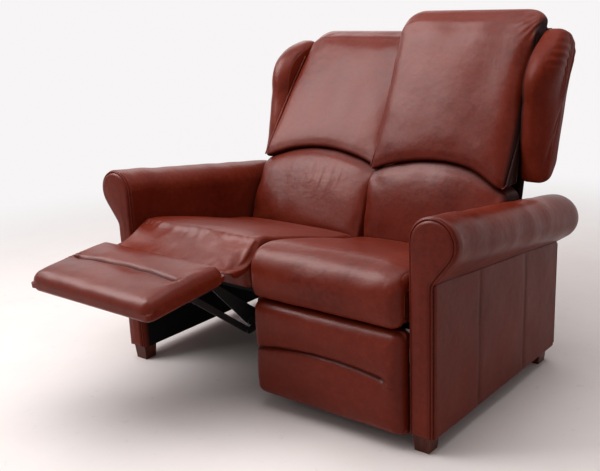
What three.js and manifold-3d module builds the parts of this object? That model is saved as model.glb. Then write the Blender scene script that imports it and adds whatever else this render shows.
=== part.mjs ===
// A two-seat reclining sofa with rolled arms and winged backs, in millimetres, +Z up, its front towards -Y.
// It is drawn in one pose: the left seat is closed and upright, and the right seat has its footrest out
// and its back tipped. Left and right are those of someone who sits on it, so left is +X.
// Each seat is drawn once, closed and upright, at +X. The right one is that drawing reflected in X.
import * as THREE from "three";
import { mergeVertices } from "three/addons/utils/BufferGeometryUtils.js";
import Module from "manifold-3d";

const wasm = await Module();
wasm.setup();

// The pose that the sofa is drawn in, in degrees
const FOOTREST_TRAVEL_DEGREES = 84.5;
const LEFT_FOOTREST_DEGREES = 0;
const RIGHT_FOOTREST_DEGREES = FOOTREST_TRAVEL_DEGREES;
const LEFT_RECLINE_DEGREES = 0;
const RIGHT_RECLINE_DEGREES = 13.5;

// Sizes of the whole sofa. Depths run back from the front of the arms, heights up from the floor.
const SEAT_WIDTH = 512;
const SEAT_SPACING = 12;
const ARM_CLEARANCE = 6;
const ORIGIN_DEPTH = 346;
const FIT = 0.3;
const OVERRUN = 5;

// Arms: a column with a roll on top that overhangs outwards and falls towards the back
const ARM_DEPTH = 771;
const ARM_CREST_HEIGHT = 660;
const ARM_CREST_FALL = 104;
const ARM_ROLL_RADIUS = 71.5;
const ARM_COLUMN_WIDTH = 76;
const ARM_CREASE_DROP_FRONT = 108;
const ARM_CREASE_DROP_REAR = 84;
const ARM_EDGE_ROUND = 8;
const ARM_ROLL_END_LENGTH = 85;
const ARM_ROLL_END_PAST = 64;
const FACING_THICKNESS = 14;
const FACING_INSET = 9;
const FACING_EDGE = 4;

// Feet and base
const FOOT_HEIGHT = 48.7;
const FOOT_TOP_WIDTH = 52;
const FOOT_BOTTOM_WIDTH = 44;
const FOOT_INSET = 16;
const CENTRE_FOOT_FRONT_DEPTH = 250;
const CENTRE_FOOT_REAR_INSET = 45;
const SUPPORT_THICKNESS = 30;
const SUPPORT_FRONT_DEPTH = 90;
const SUPPORT_CORNER = 60;
const REAR_PANEL_THICKNESS = 20;
const REAR_PANEL_SETBACK = 6;
const REAR_PANEL_BOTTOM_HEIGHT = 55;
const REAR_PANEL_TOP_HEIGHT = 270;
const REAR_PANEL_EDGE = 6;

// Seat cushion and the leather apron that wraps its front
const CUSHION_SIDE_GAP = 2;
const CROWN_HEIGHT = 503;
const CROWN_DEPTH = 58;
const NOSE_OVERHANG = 28;
const CUSHION_FRONT_BOTTOM = 347;
const CUSHION_BACK_GAP = 2;
const CUSHION_REAR_TOP = 404;
const CUSHION_SIDE_ROUND = 16;
const CUSHION_CROWN_DROP = 12;
const APRON_THICKNESS = 5;
const APRON_GAP = 2;
const APRON_SEWN_SHARE = 0.5;
const NOSE_DEPTH_SHARES = [0, 0.43, 0.79, 0.975, 1, 0.985, 0.86];
const NOSE_DROP_SHARES = [0, 0.04, 0.16, 0.34, 0.56, 0.79, 0.98];
const SEAT_TOP_DEPTH_SHARES = [0.07, 0.25, 0.5, 0.75, 0.94];
const SEAT_TOP_DROP_SHARES = [0.02, 0.19, 0.48, 0.79, 1];

// Seat frame of wood with its webbing, tilted down to the back
const SEAT_FRAME_FRONT_DEPTH = 79;
const SEAT_FRAME_REAR_DEPTH = 500;
const SEAT_FRAME_TOP = 338.5;
const SEAT_FRAME_THICKNESS = 22;
const SEAT_FRAME_INSET = 14;
const SEAT_RAIL_WIDTH = 45;
const SEAT_TILT_SLOPE = 0.105;
const WEB_STRAP_WIDTH = 50;
const WEB_STRAP_THICKNESS = 2.5;
const WEB_STRAP_COUNT = 4;
const WEB_STAPLE_LAP = 30;

// Footrest: it turns about a point in the seat's nose that no pin marks, held there by its links
const FOOTREST_CENTRE_DEPTH = 6.6;
const FOOTREST_CENTRE_HEIGHT = 450.7;
const PANEL_SIDE_GAP = 3;
const PANEL_FRONT = -18.5;
const PANEL_THICKNESS = 55.5;
const PANEL_BOTTOM = 40;
const PANEL_TOP = 338;
const PANEL_EDGE_ROUND = 24;
const PANEL_CROWN = 5;
const PANEL_SEAM_HEIGHT = 188;
const PANEL_SEAM_ARCH = 26;
const PANEL_SEAM_DEPTH = 5;
const PANEL_SEAM_WIDTH = 9;
const BOARD_THICKNESS = 12;
const BOARD_INSET = 13;

// Footrest links: flat steel bars in three layers, counted in from each side of the seat
const PLATE_INSET = 34;
const PLATE_THICKNESS = 4;
const LAYER_GAP = 1;
const PLATE_FRONT_DEPTH = 126;
const PLATE_DEEP = 54;
const PLATE_LUG_RADIUS = 15;
const DRIVE_PIVOT_DEPTH = 232;
const DRIVE_PIVOT_HEIGHT = 276;
const FOLLOWER_PIVOT_DEPTH = 152;
const FOLLOWER_PIVOT_HEIGHT = 294;
const CARRIER_PIN_DEPTH = 47;
const UPPER_CARRIER_PIN_HEIGHT = 324;
const LOWER_CARRIER_PIN_HEIGHT = 235;
const LINK_EYE_RADIUS = 10;
const PIVOT_EYE_RADIUS = 12;
const PIN_RADIUS = 4;
const PIN_CLEARANCE = 0.4;
const PIN_HEAD_RADIUS = 6.5;
const PIN_HEAD_THICKNESS = 2;
const TORQUE_TUBE_RADIUS = 10;
const TUBE_SOCKET_DEPTH = 12;
const CARRIER_FLANGE_WIDTH = 20;
const CARRIER_SHEET = 3;
const CARRIER_BAR_HEIGHT = 30;
const CROSS_TUBE_DEPTH = 420;
const CROSS_TUBE_SIZE = 20;

// Back: its curve is set by the front face of the frame, which leans more above the bend
const BACK_PIVOT_DEPTH = 600;
const BACK_PIVOT_HEIGHT = 270;
const BACK_FOOT_DEPTH = 628;
const BACK_FOOT_HEIGHT = 335;
const BACK_BEND_HEIGHT = 610;
const BACK_LOWER_SLOPE = 0.231;
const BACK_UPPER_SLOPE = 0.384;
const BACK_FRAME_TOP_DROP = 53;
const BACK_FRAME_THICKNESS = 20;
const BACK_STILE_WIDTH = 38;
const BACK_RAIL_HEIGHT = 45;
const BACK_WIDE_DROP = 20;
const BACK_SIDE_GAP = 6;
const SHELL_THICKNESS = 17;
const SHELL_TAIL = 33;
const SHELL_TOP_DROP = 19;
const SHELL_CORNER = 46;
const SHELL_SHOULDER_DROP = 16;
const SHELL_SHOULDER_ROUND = 40;
const BRACKET_REACH = 130;
const BRACKET_WIDTH = 17;
const HINGE_BAR_SIZE = 14;
const HINGE_BAR_DROP = 4;

// Back cushions: a lower one for the small of the back, and an upper one whose lower edge is an arch
const PAD_SIDE_GAP = 2;
const PAD_END_GAP = 6;
const PAD_BOTTOM = 601;
const PAD_ARCH = 56;
const PAD_TOP = 1105;
const PAD_CORNER_DROP = 62;
const PAD_CORNER_SHARE = 0.28;
const PAD_THICKNESS_BOTTOM = 112;
const PAD_THICKNESS_TOP = 78;
const PAD_CROWN = 20;
const PAD_WING_SWELL = 16;
const PAD_END_ROUND = 26;
const PAD_SWELL_SHARES = [0.1, 0.9];
const PAD_CREST_SHARES = [
  [0.7, 0.06],
  [0.35, 0],
];
const PAD_REAR_DROP_SHARE = 0.12;
const LUMBAR_THICKNESS = 111;
const LUMBAR_CROWN = 9;
const LUMBAR_TAIL = 3;
const LUMBAR_END_ROUND = 14;
const LUMBAR_GAP = 3;

// Wing: a padded ear beside the upper cushion, crested towards its inner side and swept back outside
const WING_THICKNESS = 72;
const WING_FOOT_THICKNESS = 88;
const WING_BOTTOM_DROP = 56;
const WING_TOP_DROP = 49;
const WING_REACH = 90;
const WING_SWELL = 60;
const WING_BACK = 14;
const WING_ROUND = 18;
const WING_TOP_ROUND_SHARE = 0.14;
const WING_TOP_REACH_SHARE = 0.65;
const WING_SWELL_POWER = 2.2;
const WING_CREST_SHARE = 0.4;
const WING_INNER_REACH_SHARE = 0.82;
const WING_OUTER_REACH_SHARE = 0.25;
const WING_RING_SHARES = [0, 0.07, 0.22, 0.4, 0.62, 0.82, 0.94, 1];
const WING_REAR_SHARES = [1, 0.93, 0.5, 0.08, 0];

// Counts of facets
const ROLL_FACETS = 16;
const ROLL_END_RINGS = 5;
const EYE_FACETS = 10;
const PIN_FACETS = 8;
const CUSHION_STATIONS = 11;
const PANEL_STATIONS = 13;
const PAD_STATIONS = 13;
const PAD_FRONT_POINTS = 8;
const WING_EDGE_POINTS = 8;
const LUMBAR_FRONT_POINTS = 6;

// Places that follow from the sizes
const seatInner = SEAT_SPACING / 2;
const seatOuter = seatInner + SEAT_WIDTH;
const armInner = seatOuter + ARM_CLEARANCE;
const armBottom = FOOT_HEIGHT + FIT;
const layerA = PLATE_INSET + PLATE_THICKNESS + LAYER_GAP;
const layerB = layerA + PLATE_THICKNESS + LAYER_GAP;
const footrestCentre = point(FOOTREST_CENTRE_DEPTH, FOOTREST_CENTRE_HEIGHT);
const drivePivot = point(DRIVE_PIVOT_DEPTH, DRIVE_PIVOT_HEIGHT);
const followerPivot = point(FOLLOWER_PIVOT_DEPTH, FOLLOWER_PIVOT_HEIGHT);
const backPivot = point(BACK_PIVOT_DEPTH, BACK_PIVOT_HEIGHT);
const upperCarrierPin = point(CARRIER_PIN_DEPTH, UPPER_CARRIER_PIN_HEIGHT);
const lowerCarrierPin = point(CARRIER_PIN_DEPTH, LOWER_CARRIER_PIN_HEIGHT);
const upperArm = upperCarrierPin.clone().sub(footrestCentre);
const lowerArm = lowerCarrierPin.clone().sub(footrestCentre);
const backFrameTop = PAD_TOP - BACK_FRAME_TOP_DROP;
const shellTop = PAD_TOP - SHELL_TOP_DROP;
const shellBottom = BACK_FOOT_HEIGHT - SHELL_TAIL;
const wingTop = PAD_TOP - WING_TOP_DROP;
const wingBottom = ARM_CREST_HEIGHT - WING_BOTTOM_DROP;
const backWideHeight = ARM_CREST_HEIGHT - BACK_WIDE_DROP;
const lumbarBottom = BACK_FOOT_HEIGHT - LUMBAR_TAIL;

const leather = surface(0x7a3226, 0.45, 0);
const flatLeather = surface(0x5c332d, 0.6, 0);
const footWood = surface(0x5a2a1c, 0.4, 0);
const frameWood = surface(0xb58d62, 0.8, 0);
const webbing = surface(0x2c2a28, 0.9, 0);
const blackSteel = surface(0x1c1c1e, 0.5, 0.8);
const zincSteel = surface(0x9a9a98, 0.35, 1);

function surface(color, roughness, metalness) {
  return new THREE.MeshStandardMaterial({ color, roughness, metalness });
}

// A point of a side view: how far back, and how high.
function point(depth, height) {
  return new THREE.Vector2(depth, height);
}

function lerp(from, to, share) {
  return from + (to - from) * share;
}

// Geometry helpers

// A copy with shared corners merged and only positions kept, as booleans need.
function welded(geometry) {
  const bare = geometry.clone();
  bare.deleteAttribute("normal");
  bare.deleteAttribute("uv");
  return mergeVertices(bare);
}

function toSolid(geometry) {
  const bare = welded(geometry);
  const vertProperties = new Float32Array(bare.attributes.position.array);
  const triVerts = new Uint32Array(bare.index.array);
  return new wasm.Manifold(new wasm.Mesh({ numProp: 3, vertProperties, triVerts }));
}

function toGeometry(solid) {
  const mesh = solid.getMesh();
  const geometry = new THREE.BufferGeometry();
  geometry.setAttribute("position", new THREE.BufferAttribute(new Float32Array(mesh.vertProperties), 3));
  geometry.setIndex(new THREE.BufferAttribute(new Uint32Array(mesh.triVerts), 1));
  geometry.computeVertexNormals();
  return geometry;
}

function join(...geometries) {
  return toGeometry(geometries.map(toSolid).reduce((whole, next) => whole.add(next)));
}

function cut(base, ...tools) {
  return toGeometry(tools.map(toSolid).reduce((rest, tool) => rest.subtract(tool), toSolid(base)));
}

function common(first, second) {
  return toGeometry(toSolid(first).intersect(toSolid(second)));
}

// The reflection in X, with each triangle turned round so that it still faces out.
function reflected(geometry) {
  const bare = welded(geometry);
  bare.scale(-1, 1, 1);
  const index = bare.index.array;
  for (let i = 0; i < index.length; i += 3) [index[i], index[i + 1]] = [index[i + 1], index[i]];
  bare.computeVertexNormals();
  return bare;
}

function signedArea(outline) {
  return THREE.ShapeUtils.area(outline);
}

// A closed skin through rings of equal counts, with flat ends. The ends are filled in the plane of
// axes u and v, and the whole is turned inside out if its volume comes out negative.
function loft(rings, u, v) {
  const count = rings[0].length;
  const corners = rings.flat();
  const faces = [];
  for (let r = 0; r + 1 < rings.length; r++) {
    for (let i = 0; i < count; i++) {
      const next = (i + 1) % count;
      const [a, b] = [r * count + i, r * count + next];
      faces.push([a, b, b + count], [a, b + count, a + count]);
    }
  }
  faces.push(...endFaces(corners, 0, count, -1, u, v));
  faces.push(...endFaces(corners, (rings.length - 1) * count, count, 1, u, v));
  const sixfold = ([a, b, c]) => corners[a].dot(corners[b].clone().cross(corners[c]));
  const volume = faces.reduce((sum, face) => sum + sixfold(face), 0);
  const outward = volume < 0 ? faces.map(([a, b, c]) => [a, c, b]) : faces;
  const geometry = new THREE.BufferGeometry().setFromPoints(corners);
  geometry.setIndex(outward.flat());
  geometry.computeVertexNormals();
  return geometry;
}

// The triangles that fill an end ring, turned along the ring or against it. They fan out from a new
// corner in the ring's middle where that corner sees the whole ring, and otherwise cut it up.
function endFaces(corners, first, count, turn, u, v) {
  const ring = corners.slice(first, first + count);
  const flat = ring.map((p) => new THREE.Vector2(p[u], p[v]));
  const way = Math.sign(signedArea(flat));
  const middle = ring.reduce((sum, p) => sum.add(p), new THREE.Vector3()).divideScalar(count);
  const hub = new THREE.Vector2(middle[u], middle[v]);
  const seen = flat.every((p, i) => Math.sign(signedArea([p, flat[(i + 1) % count], hub])) === way);
  if (seen) {
    corners.push(middle);
    const last = corners.length - 1;
    return ring.map((_, i) => {
      const [a, b] = [first + i, first + ((i + 1) % count)];
      return turn > 0 ? [a, b, last] : [b, a, last];
    });
  }
  const faces = THREE.ShapeUtils.triangulateShape(flat, []);
  const along = Math.sign(signedArea(faces[0].map((i) => flat[i]))) === way * turn;
  return faces.map((face) => (along ? face : face.toReversed()).map((i) => first + i));
}

// A side-view outline carried along X.
function prismAlongX(outline, from, to, holes = []) {
  const shape = new THREE.Shape(outline);
  shape.holes = holes.map((hole) => new THREE.Path(hole));
  const geometry = new THREE.ExtrudeGeometry(shape, { depth: to - from, bevelEnabled: false });
  const toSideView = new THREE.Matrix4().makeBasis(
    new THREE.Vector3(0, 1, 0),
    new THREE.Vector3(0, 0, 1),
    new THREE.Vector3(1, 0, 0),
  );
  return welded(geometry.applyMatrix4(toSideView).translate(from, 0, 0));
}

// A front-view outline, across and up, carried back from one depth to another.
function prismAlongY(outline, from, to) {
  const geometry = new THREE.ExtrudeGeometry(new THREE.Shape(outline), {
    depth: to - from,
    bevelEnabled: false,
  });
  return welded(geometry.rotateX(Math.PI / 2).translate(0, to, 0));
}

function block(x0, x1, y0, y1, z0, z1) {
  const geometry = new THREE.BoxGeometry(x1 - x0, y1 - y0, z1 - z0);
  return geometry.translate((x0 + x1) / 2, (y0 + y1) / 2, (z0 + z1) / 2);
}

function rodAlongX(radius, from, to, centre, facets = PIN_FACETS) {
  const geometry = new THREE.CylinderGeometry(radius, radius, to - from, facets);
  return geometry.rotateZ(Math.PI / 2).translate((from + to) / 2, centre.x, centre.y);
}

function circle(centre, radius, facets = EYE_FACETS) {
  return Array.from({ length: facets }, (_, i) => {
    const angle = (2 * Math.PI * i) / facets;
    return point(centre.x + radius * Math.cos(angle), centre.y + radius * Math.sin(angle));
  });
}

// The outline of a band stretched round several circles: their convex hull.
function bandRound(...circles) {
  const points = circles.flat().sort((a, b) => a.x - b.x || a.y - b.y);
  const turn = (o, a, b) => (a.x - o.x) * (b.y - o.y) - (a.y - o.y) * (b.x - o.x);
  const halfHull = (ordered) => {
    const hull = [];
    for (const p of ordered) {
      while (hull.length > 1 && turn(hull.at(-2), hull.at(-1), p) <= 0) hull.pop();
      hull.push(p);
    }
    return hull.slice(0, -1);
  };
  return [...halfHull(points), ...halfHull([...points].reverse())];
}

function roundedRectangle(u0, u1, v0, v1, radius) {
  const corners = [
    [u1 - radius, v1 - radius, 0],
    [u0 + radius, v1 - radius, 1],
    [u0 + radius, v0 + radius, 2],
    [u1 - radius, v0 + radius, 3],
  ];
  const steps = [0, 1, 2];
  return corners.flatMap(([u, v, quarter]) =>
    steps.map((step) => {
      const angle = ((quarter + step / (steps.length - 1)) * Math.PI) / 2;
      return point(u + radius * Math.cos(angle), v + radius * Math.sin(angle));
    }),
  );
}

// The same open line moved sideways, to the left of its direction, by a distance that may change along it.
function offsetLine(line, distanceAt) {
  return line.map((p, i) => {
    const before = line[Math.max(i - 1, 0)];
    const after = line[Math.min(i + 1, line.length - 1)];
    const along = after.clone().sub(before).normalize();
    const distance = distanceAt(i / (line.length - 1));
    return point(p.x - along.y * distance, p.y + along.x * distance);
  });
}

function ringAtX(x, outline) {
  return outline.map((p) => new THREE.Vector3(x, p.x, p.y));
}

// Stations across a soft piece, closer together near its two sides: -1 to 1.
function stations(count) {
  return Array.from({ length: count }, (_, i) => Math.sin((Math.PI * (i / (count - 1) - 0.5))));
}

// How much a rounded edge has drawn in at a station: nothing over the middle, all of it at the side.
function drawnIn(station, width, round) {
  const intoEdge = Math.max(Math.abs(station) * (width / 2) - (width / 2 - round), 0) / round;
  return 1 - Math.sqrt(Math.max(1 - intoEdge * intoEdge, 0));
}

// Meshes turned about a pivot in the side view, towards the front for a footrest and back for a back.
function swung(pivot, degrees, meshes) {
  const hinge = new THREE.Group();
  hinge.position.set(0, pivot.x, pivot.y);
  hinge.rotation.x = -THREE.MathUtils.degToRad(degrees);
  const held = new THREE.Group();
  held.position.set(0, -pivot.x, -pivot.y);
  held.add(...meshes);
  hinge.add(held);
  return hinge;
}

function shifted(offset, meshes) {
  const group = new THREE.Group();
  group.position.set(0, offset.x, offset.y);
  group.add(...meshes);
  return group;
}

// A side-view vector turned as an opening footrest or a tipping back turns.
function turned(vector, degrees) {
  return vector.clone().rotateAround(point(0, 0), -THREE.MathUtils.degToRad(degrees));
}

function named(name, geometry, material) {
  const mesh = new THREE.Mesh(geometry, material);
  mesh.name = name;
  return mesh;
}

// Arms

function rollCentreHeight(depth) {
  return ARM_CREST_HEIGHT - ARM_ROLL_RADIUS - (ARM_CREST_FALL * depth) / ARM_DEPTH;
}

// The keyhole section of an arm: the roll, a flank that leaves it on a tangent, and the column.
function armOutline(depth, inset) {
  const radius = ARM_ROLL_RADIUS - inset;
  const centre = point(armInner + ARM_ROLL_RADIUS, rollCentreHeight(depth));
  const creaseDrop = lerp(ARM_CREASE_DROP_FRONT, ARM_CREASE_DROP_REAR, depth / ARM_DEPTH);
  const outer = armInner + ARM_COLUMN_WIDTH - inset;
  const crease = point(outer, centre.y - creaseDrop);
  const toCrease = crease.clone().sub(centre);
  const start = toCrease.angle() - 2 * Math.PI + Math.acos(radius / toCrease.length());
  const arc = Array.from({ length: ROLL_FACETS + 1 }, (_, i) => {
    const angle = lerp(start, Math.PI, i / ROLL_FACETS);
    return point(centre.x + radius * Math.cos(angle), centre.y + radius * Math.sin(angle));
  });
  return [point(outer, armBottom), crease, ...arc, point(armInner + inset, armBottom)];
}

function arm() {
  const front = FACING_THICKNESS + FIT;
  const places = [
    [front, ARM_EDGE_ROUND],
    [front + ARM_EDGE_ROUND / 3, ARM_EDGE_ROUND / 3],
    [front + ARM_EDGE_ROUND, 0],
    [ARM_DEPTH - ARM_EDGE_ROUND, 0],
    [ARM_DEPTH - ARM_EDGE_ROUND / 3, ARM_EDGE_ROUND / 3],
    [ARM_DEPTH, ARM_EDGE_ROUND],
  ];
  const rings = places.map(([depth, inset]) =>
    armOutline(depth, inset).map((p) => new THREE.Vector3(p.x, depth, p.y)),
  );
  return join(loft(rings, "x", "z"), armRollEnd());
}

// The domed back end of the roll: half an ellipse turned about the roll's own sloping axis.
function armRollEnd() {
  const overlap = ARM_ROLL_RADIUS / 2;
  const radius = ARM_ROLL_RADIUS - FIT;
  const profile = [point(0, -overlap), point(radius, -overlap)];
  for (let i = 0; i <= ROLL_END_RINGS; i++) {
    const angle = (Math.PI / 2) * (i / ROLL_END_RINGS);
    const out = i === ROLL_END_RINGS ? 0 : radius * Math.cos(angle);
    profile.push(point(out, ARM_ROLL_END_LENGTH * Math.sin(angle)));
  }
  const dome = new THREE.LatheGeometry(profile, ROLL_FACETS);
  dome.rotateX(-Math.atan2(ARM_CREST_FALL, ARM_DEPTH));
  const depth = ARM_DEPTH + ARM_ROLL_END_PAST - ARM_ROLL_END_LENGTH;
  return dome.translate(armInner + ARM_ROLL_RADIUS, depth, rollCentreHeight(depth));
}

function armFacing() {
  const outline = armOutline(0, FACING_INSET + FACING_EDGE);
  const geometry = new THREE.ExtrudeGeometry(new THREE.Shape(outline), {
    depth: FACING_THICKNESS - 2 * FACING_EDGE,
    bevelThickness: FACING_EDGE,
    bevelSize: FACING_EDGE,
    bevelSegments: 2,
  });
  geometry.rotateX(Math.PI / 2).translate(0, FACING_THICKNESS - FACING_EDGE, FACING_EDGE);
  return welded(geometry);
}

// Feet and base

function foot(x, y) {
  const halfDiagonal = Math.SQRT1_2;
  const geometry = new THREE.CylinderGeometry(
    FOOT_TOP_WIDTH * halfDiagonal,
    FOOT_BOTTOM_WIDTH * halfDiagonal,
    FOOT_HEIGHT,
    4,
  );
  return geometry.rotateY(Math.PI / 4).rotateX(Math.PI / 2).translate(x, y, FOOT_HEIGHT / 2);
}

function feet() {
  const halfWidth = FOOT_TOP_WIDTH / 2;
  const cornerX = armInner + ARM_COLUMN_WIDTH - FOOT_INSET - halfWidth;
  const cornerDepths = { front: FOOT_INSET + halfWidth, rear: ARM_DEPTH - FOOT_INSET - halfWidth };
  const centreDepths = { front: CENTRE_FOOT_FRONT_DEPTH, rear: rearPanelFront() - CENTRE_FOOT_REAR_INSET };
  return ["front", "rear"].flatMap((end) => [
    named(`foot_left_${end}`, foot(cornerX, cornerDepths[end]), footWood),
    named(`foot_right_${end}`, foot(-cornerX, cornerDepths[end]), footWood),
    named(`foot_centre_${end}`, foot(0, centreDepths[end]), footWood),
  ]);
}

function rearPanelFront() {
  return ARM_DEPTH - REAR_PANEL_SETBACK - REAR_PANEL_THICKNESS;
}

// The board between the two seats. Its top stays under the seat frames.
function centreSupport() {
  const rear = rearPanelFront() - FIT;
  const top = seatFrameHeight(SUPPORT_FRONT_DEPTH) - SEAT_FRAME_THICKNESS;
  const rearTop = seatFrameHeight(SEAT_FRAME_REAR_DEPTH) - SEAT_FRAME_THICKNESS;
  const outline = [
    point(SUPPORT_FRONT_DEPTH, top),
    point(SUPPORT_FRONT_DEPTH, armBottom + SUPPORT_CORNER),
    point(SUPPORT_FRONT_DEPTH + SUPPORT_CORNER, armBottom),
    point(rear, armBottom),
    point(rear, rearTop),
    point(SEAT_FRAME_REAR_DEPTH, rearTop),
  ];
  return prismAlongX(outline, -SUPPORT_THICKNESS / 2, SUPPORT_THICKNESS / 2);
}

function rearPanel() {
  const front = rearPanelFront();
  const outline = roundedRectangle(
    front,
    front + REAR_PANEL_THICKNESS,
    REAR_PANEL_BOTTOM_HEIGHT,
    REAR_PANEL_TOP_HEIGHT,
    REAR_PANEL_EDGE,
  );
  return prismAlongX(outline, -armInner + FIT, armInner - FIT);
}

// Seat frame, webbing and cushion

// The height of the seat frame's upper face at a depth.
function seatFrameHeight(depth) {
  return SEAT_FRAME_TOP - SEAT_TILT_SLOPE * (depth - SEAT_FRAME_FRONT_DEPTH);
}

function tiltedSlab(frontDepth, rearDepth, above, thickness, x0, x1) {
  const low = above - thickness;
  const outline = [
    point(frontDepth, seatFrameHeight(frontDepth) + above),
    point(frontDepth, seatFrameHeight(frontDepth) + low),
    point(rearDepth, seatFrameHeight(rearDepth) + low),
    point(rearDepth, seatFrameHeight(rearDepth) + above),
  ];
  return prismAlongX(outline, x0, x1);
}

function seatFrame() {
  const [x0, x1] = [seatInner + SEAT_FRAME_INSET, seatOuter - SEAT_FRAME_INSET];
  const slab = tiltedSlab(SEAT_FRAME_FRONT_DEPTH, SEAT_FRAME_REAR_DEPTH, 0, SEAT_FRAME_THICKNESS, x0, x1);
  const opening = block(
    x0 + SEAT_RAIL_WIDTH,
    x1 - SEAT_RAIL_WIDTH,
    SEAT_FRAME_FRONT_DEPTH + SEAT_RAIL_WIDTH,
    SEAT_FRAME_REAR_DEPTH - SEAT_RAIL_WIDTH,
    0,
    CROWN_HEIGHT,
  );
  return cut(slab, opening);
}

// Straps both ways across the frame's opening, lapped onto its rails and woven into one sheet.
function seatWebbing() {
  const lap = SEAT_RAIL_WIDTH - WEB_STAPLE_LAP;
  const [x0, x1] = [seatInner + SEAT_FRAME_INSET + lap, seatOuter - SEAT_FRAME_INSET - lap];
  const [y0, y1] = [SEAT_FRAME_FRONT_DEPTH + lap, SEAT_FRAME_REAR_DEPTH - lap];
  const above = FIT + WEB_STRAP_THICKNESS;
  const straps = [];
  for (let i = 1; i <= WEB_STRAP_COUNT; i++) {
    const share = i / (WEB_STRAP_COUNT + 1);
    const [x, y] = [lerp(x0, x1, share), lerp(y0, y1, share)];
    const half = WEB_STRAP_WIDTH / 2;
    straps.push(tiltedSlab(y0, y1, above, WEB_STRAP_THICKNESS, x - half, x + half));
    straps.push(tiltedSlab(y - half, y + half, above, WEB_STRAP_THICKNESS, x0, x1));
  }
  return join(...straps);
}

// The front of the seat in side view, from its crown over the nose to its lower edge.
function noseLine() {
  const reach = CROWN_DEPTH + NOSE_OVERHANG;
  const drop = CROWN_HEIGHT - CUSHION_FRONT_BOTTOM;
  return NOSE_DEPTH_SHARES.map((share, i) =>
    point(CROWN_DEPTH - reach * share, CROWN_HEIGHT - drop * NOSE_DROP_SHARES[i]),
  );
}

function seatCushion() {
  const width = SEAT_WIDTH - 2 * CUSHION_SIDE_GAP;
  const middle = seatInner + SEAT_WIDTH / 2;
  const bottomRise = 2 * FIT + WEB_STRAP_THICKNESS;
  const gapAt = (share) => lerp(FIT, APRON_GAP, Math.min(share / APRON_SEWN_SHARE, 1));
  const nose = offsetLine(noseLine(), (share) => APRON_THICKNESS + gapAt(share));
  const rise = CROWN_HEIGHT - CUSHION_REAR_TOP;
  const rearTop = CUSHION_REAR_TOP - CUSHION_SIDE_ROUND;
  const rear = lumbarFront(rearTop) - CUSHION_BACK_GAP;
  const top = SEAT_TOP_DEPTH_SHARES.map((share, i) =>
    point(lerp(CROWN_DEPTH, rear, share), CROWN_HEIGHT - rise * SEAT_TOP_DROP_SHARES[i]),
  );
  const rearFoot = lumbarFront(seatFrameHeight(SEAT_FRAME_REAR_DEPTH)) - CUSHION_BACK_GAP;
  const outline = [
    ...top,
    point(rear, rearTop),
    point(rearFoot, seatFrameHeight(rearFoot) + bottomRise),
    point(SEAT_FRAME_FRONT_DEPTH, SEAT_FRAME_TOP + bottomRise),
    ...nose.toReversed(),
  ];
  const rings = stations(CUSHION_STATIONS).map((station) => {
    const inset = CUSHION_SIDE_ROUND * drawnIn(station, width, CUSHION_SIDE_ROUND * 2);
    const drop = CUSHION_CROWN_DROP * station ** 4;
    return ringAtX(middle + (width / 2) * station, cushionRing(outline, inset, drop));
  });
  return loft(rings, "y", "z");
}

// The outline pressed in by an inset towards its own middle, with its upper side lowered.
function cushionRing(outline, inset, drop) {
  const box = new THREE.Box2().setFromPoints(outline);
  const centre = box.getCenter(point(0, 0));
  const size = box.getSize(point(0, 0));
  return outline.map((p) => {
    const rise = Math.max(p.y - centre.y, 0) / (size.y / 2);
    return point(
      centre.x + (p.x - centre.x) * (1 - (2 * inset) / size.x),
      centre.y + (p.y - centre.y) * (1 - inset / size.y) - drop * rise,
    );
  });
}

// The sheet of leather from the crown to the footrest's upper edge. Each point turns with the footrest
// by a share that grows smoothly from none at the crown to all at the lower edge.
function apron(degrees) {
  const outer = noseLine();
  outer.push(point(outer.at(-1).x + APRON_THICKNESS, (CUSHION_FRONT_BOTTOM + PANEL_TOP) / 2));
  const line = outer.map((p) => {
    const fall = THREE.MathUtils.smoothstep(CROWN_HEIGHT - p.y, 0, CROWN_HEIGHT - PANEL_TOP);
    return turned(p.clone().sub(footrestCentre), degrees * fall).add(footrestCentre);
  });
  const inner = offsetLine(line, () => APRON_THICKNESS);
  const outline = [...line, ...inner.reverse()];
  return prismAlongX(outline, seatInner + CUSHION_SIDE_GAP, seatOuter - CUSHION_SIDE_GAP);
}

// Footrest panel

// The panel's pad in side view at a station: a rounded slab with a crown and a sewn groove in its front.
function panelRing(station, width) {
  const edge = (PANEL_EDGE_ROUND / 2) * drawnIn(station, width, PANEL_EDGE_ROUND);
  const [bottom, top] = [PANEL_BOTTOM + edge, PANEL_TOP - edge];
  const front = PANEL_FRONT + edge;
  const rear = PANEL_FRONT + PANEL_THICKNESS;
  const round = PANEL_EDGE_ROUND;
  const corner = (v, angle) => point(front + round * (1 - Math.sin(angle)), v + round * Math.cos(angle));
  const quarter = [0, Math.PI / 6, Math.PI / 3, Math.PI / 2];
  const seam = PANEL_SEAM_HEIGHT + PANEL_SEAM_ARCH * (1 - station * station);
  const half = PANEL_SEAM_WIDTH / 2;
  const upper = quarter.map((angle) => corner(top - round, angle));
  const lower = quarter.toReversed().map((angle) => corner(bottom + round, Math.PI - angle));
  const middles = [
    lerp(top - round, seam + half, 1 / 3),
    lerp(top - round, seam + half, 2 / 3),
    seam + half,
    seam,
    seam - half,
    lerp(seam - half, bottom + round, 1 / 3),
    lerp(seam - half, bottom + round, 2 / 3),
  ];
  const face = middles.map((height) => {
    const up = (height - (bottom + top) / 2) / ((top - bottom) / 2);
    const swell = PANEL_CROWN * (1 - up * up) * (1 - station ** 4);
    const groove = height === seam ? PANEL_SEAM_DEPTH + PANEL_CROWN : PANEL_CROWN;
    return point(front + groove - swell, height);
  });
  return [point(rear, top), ...upper, ...face, ...lower, point(rear, bottom)];
}

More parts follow.
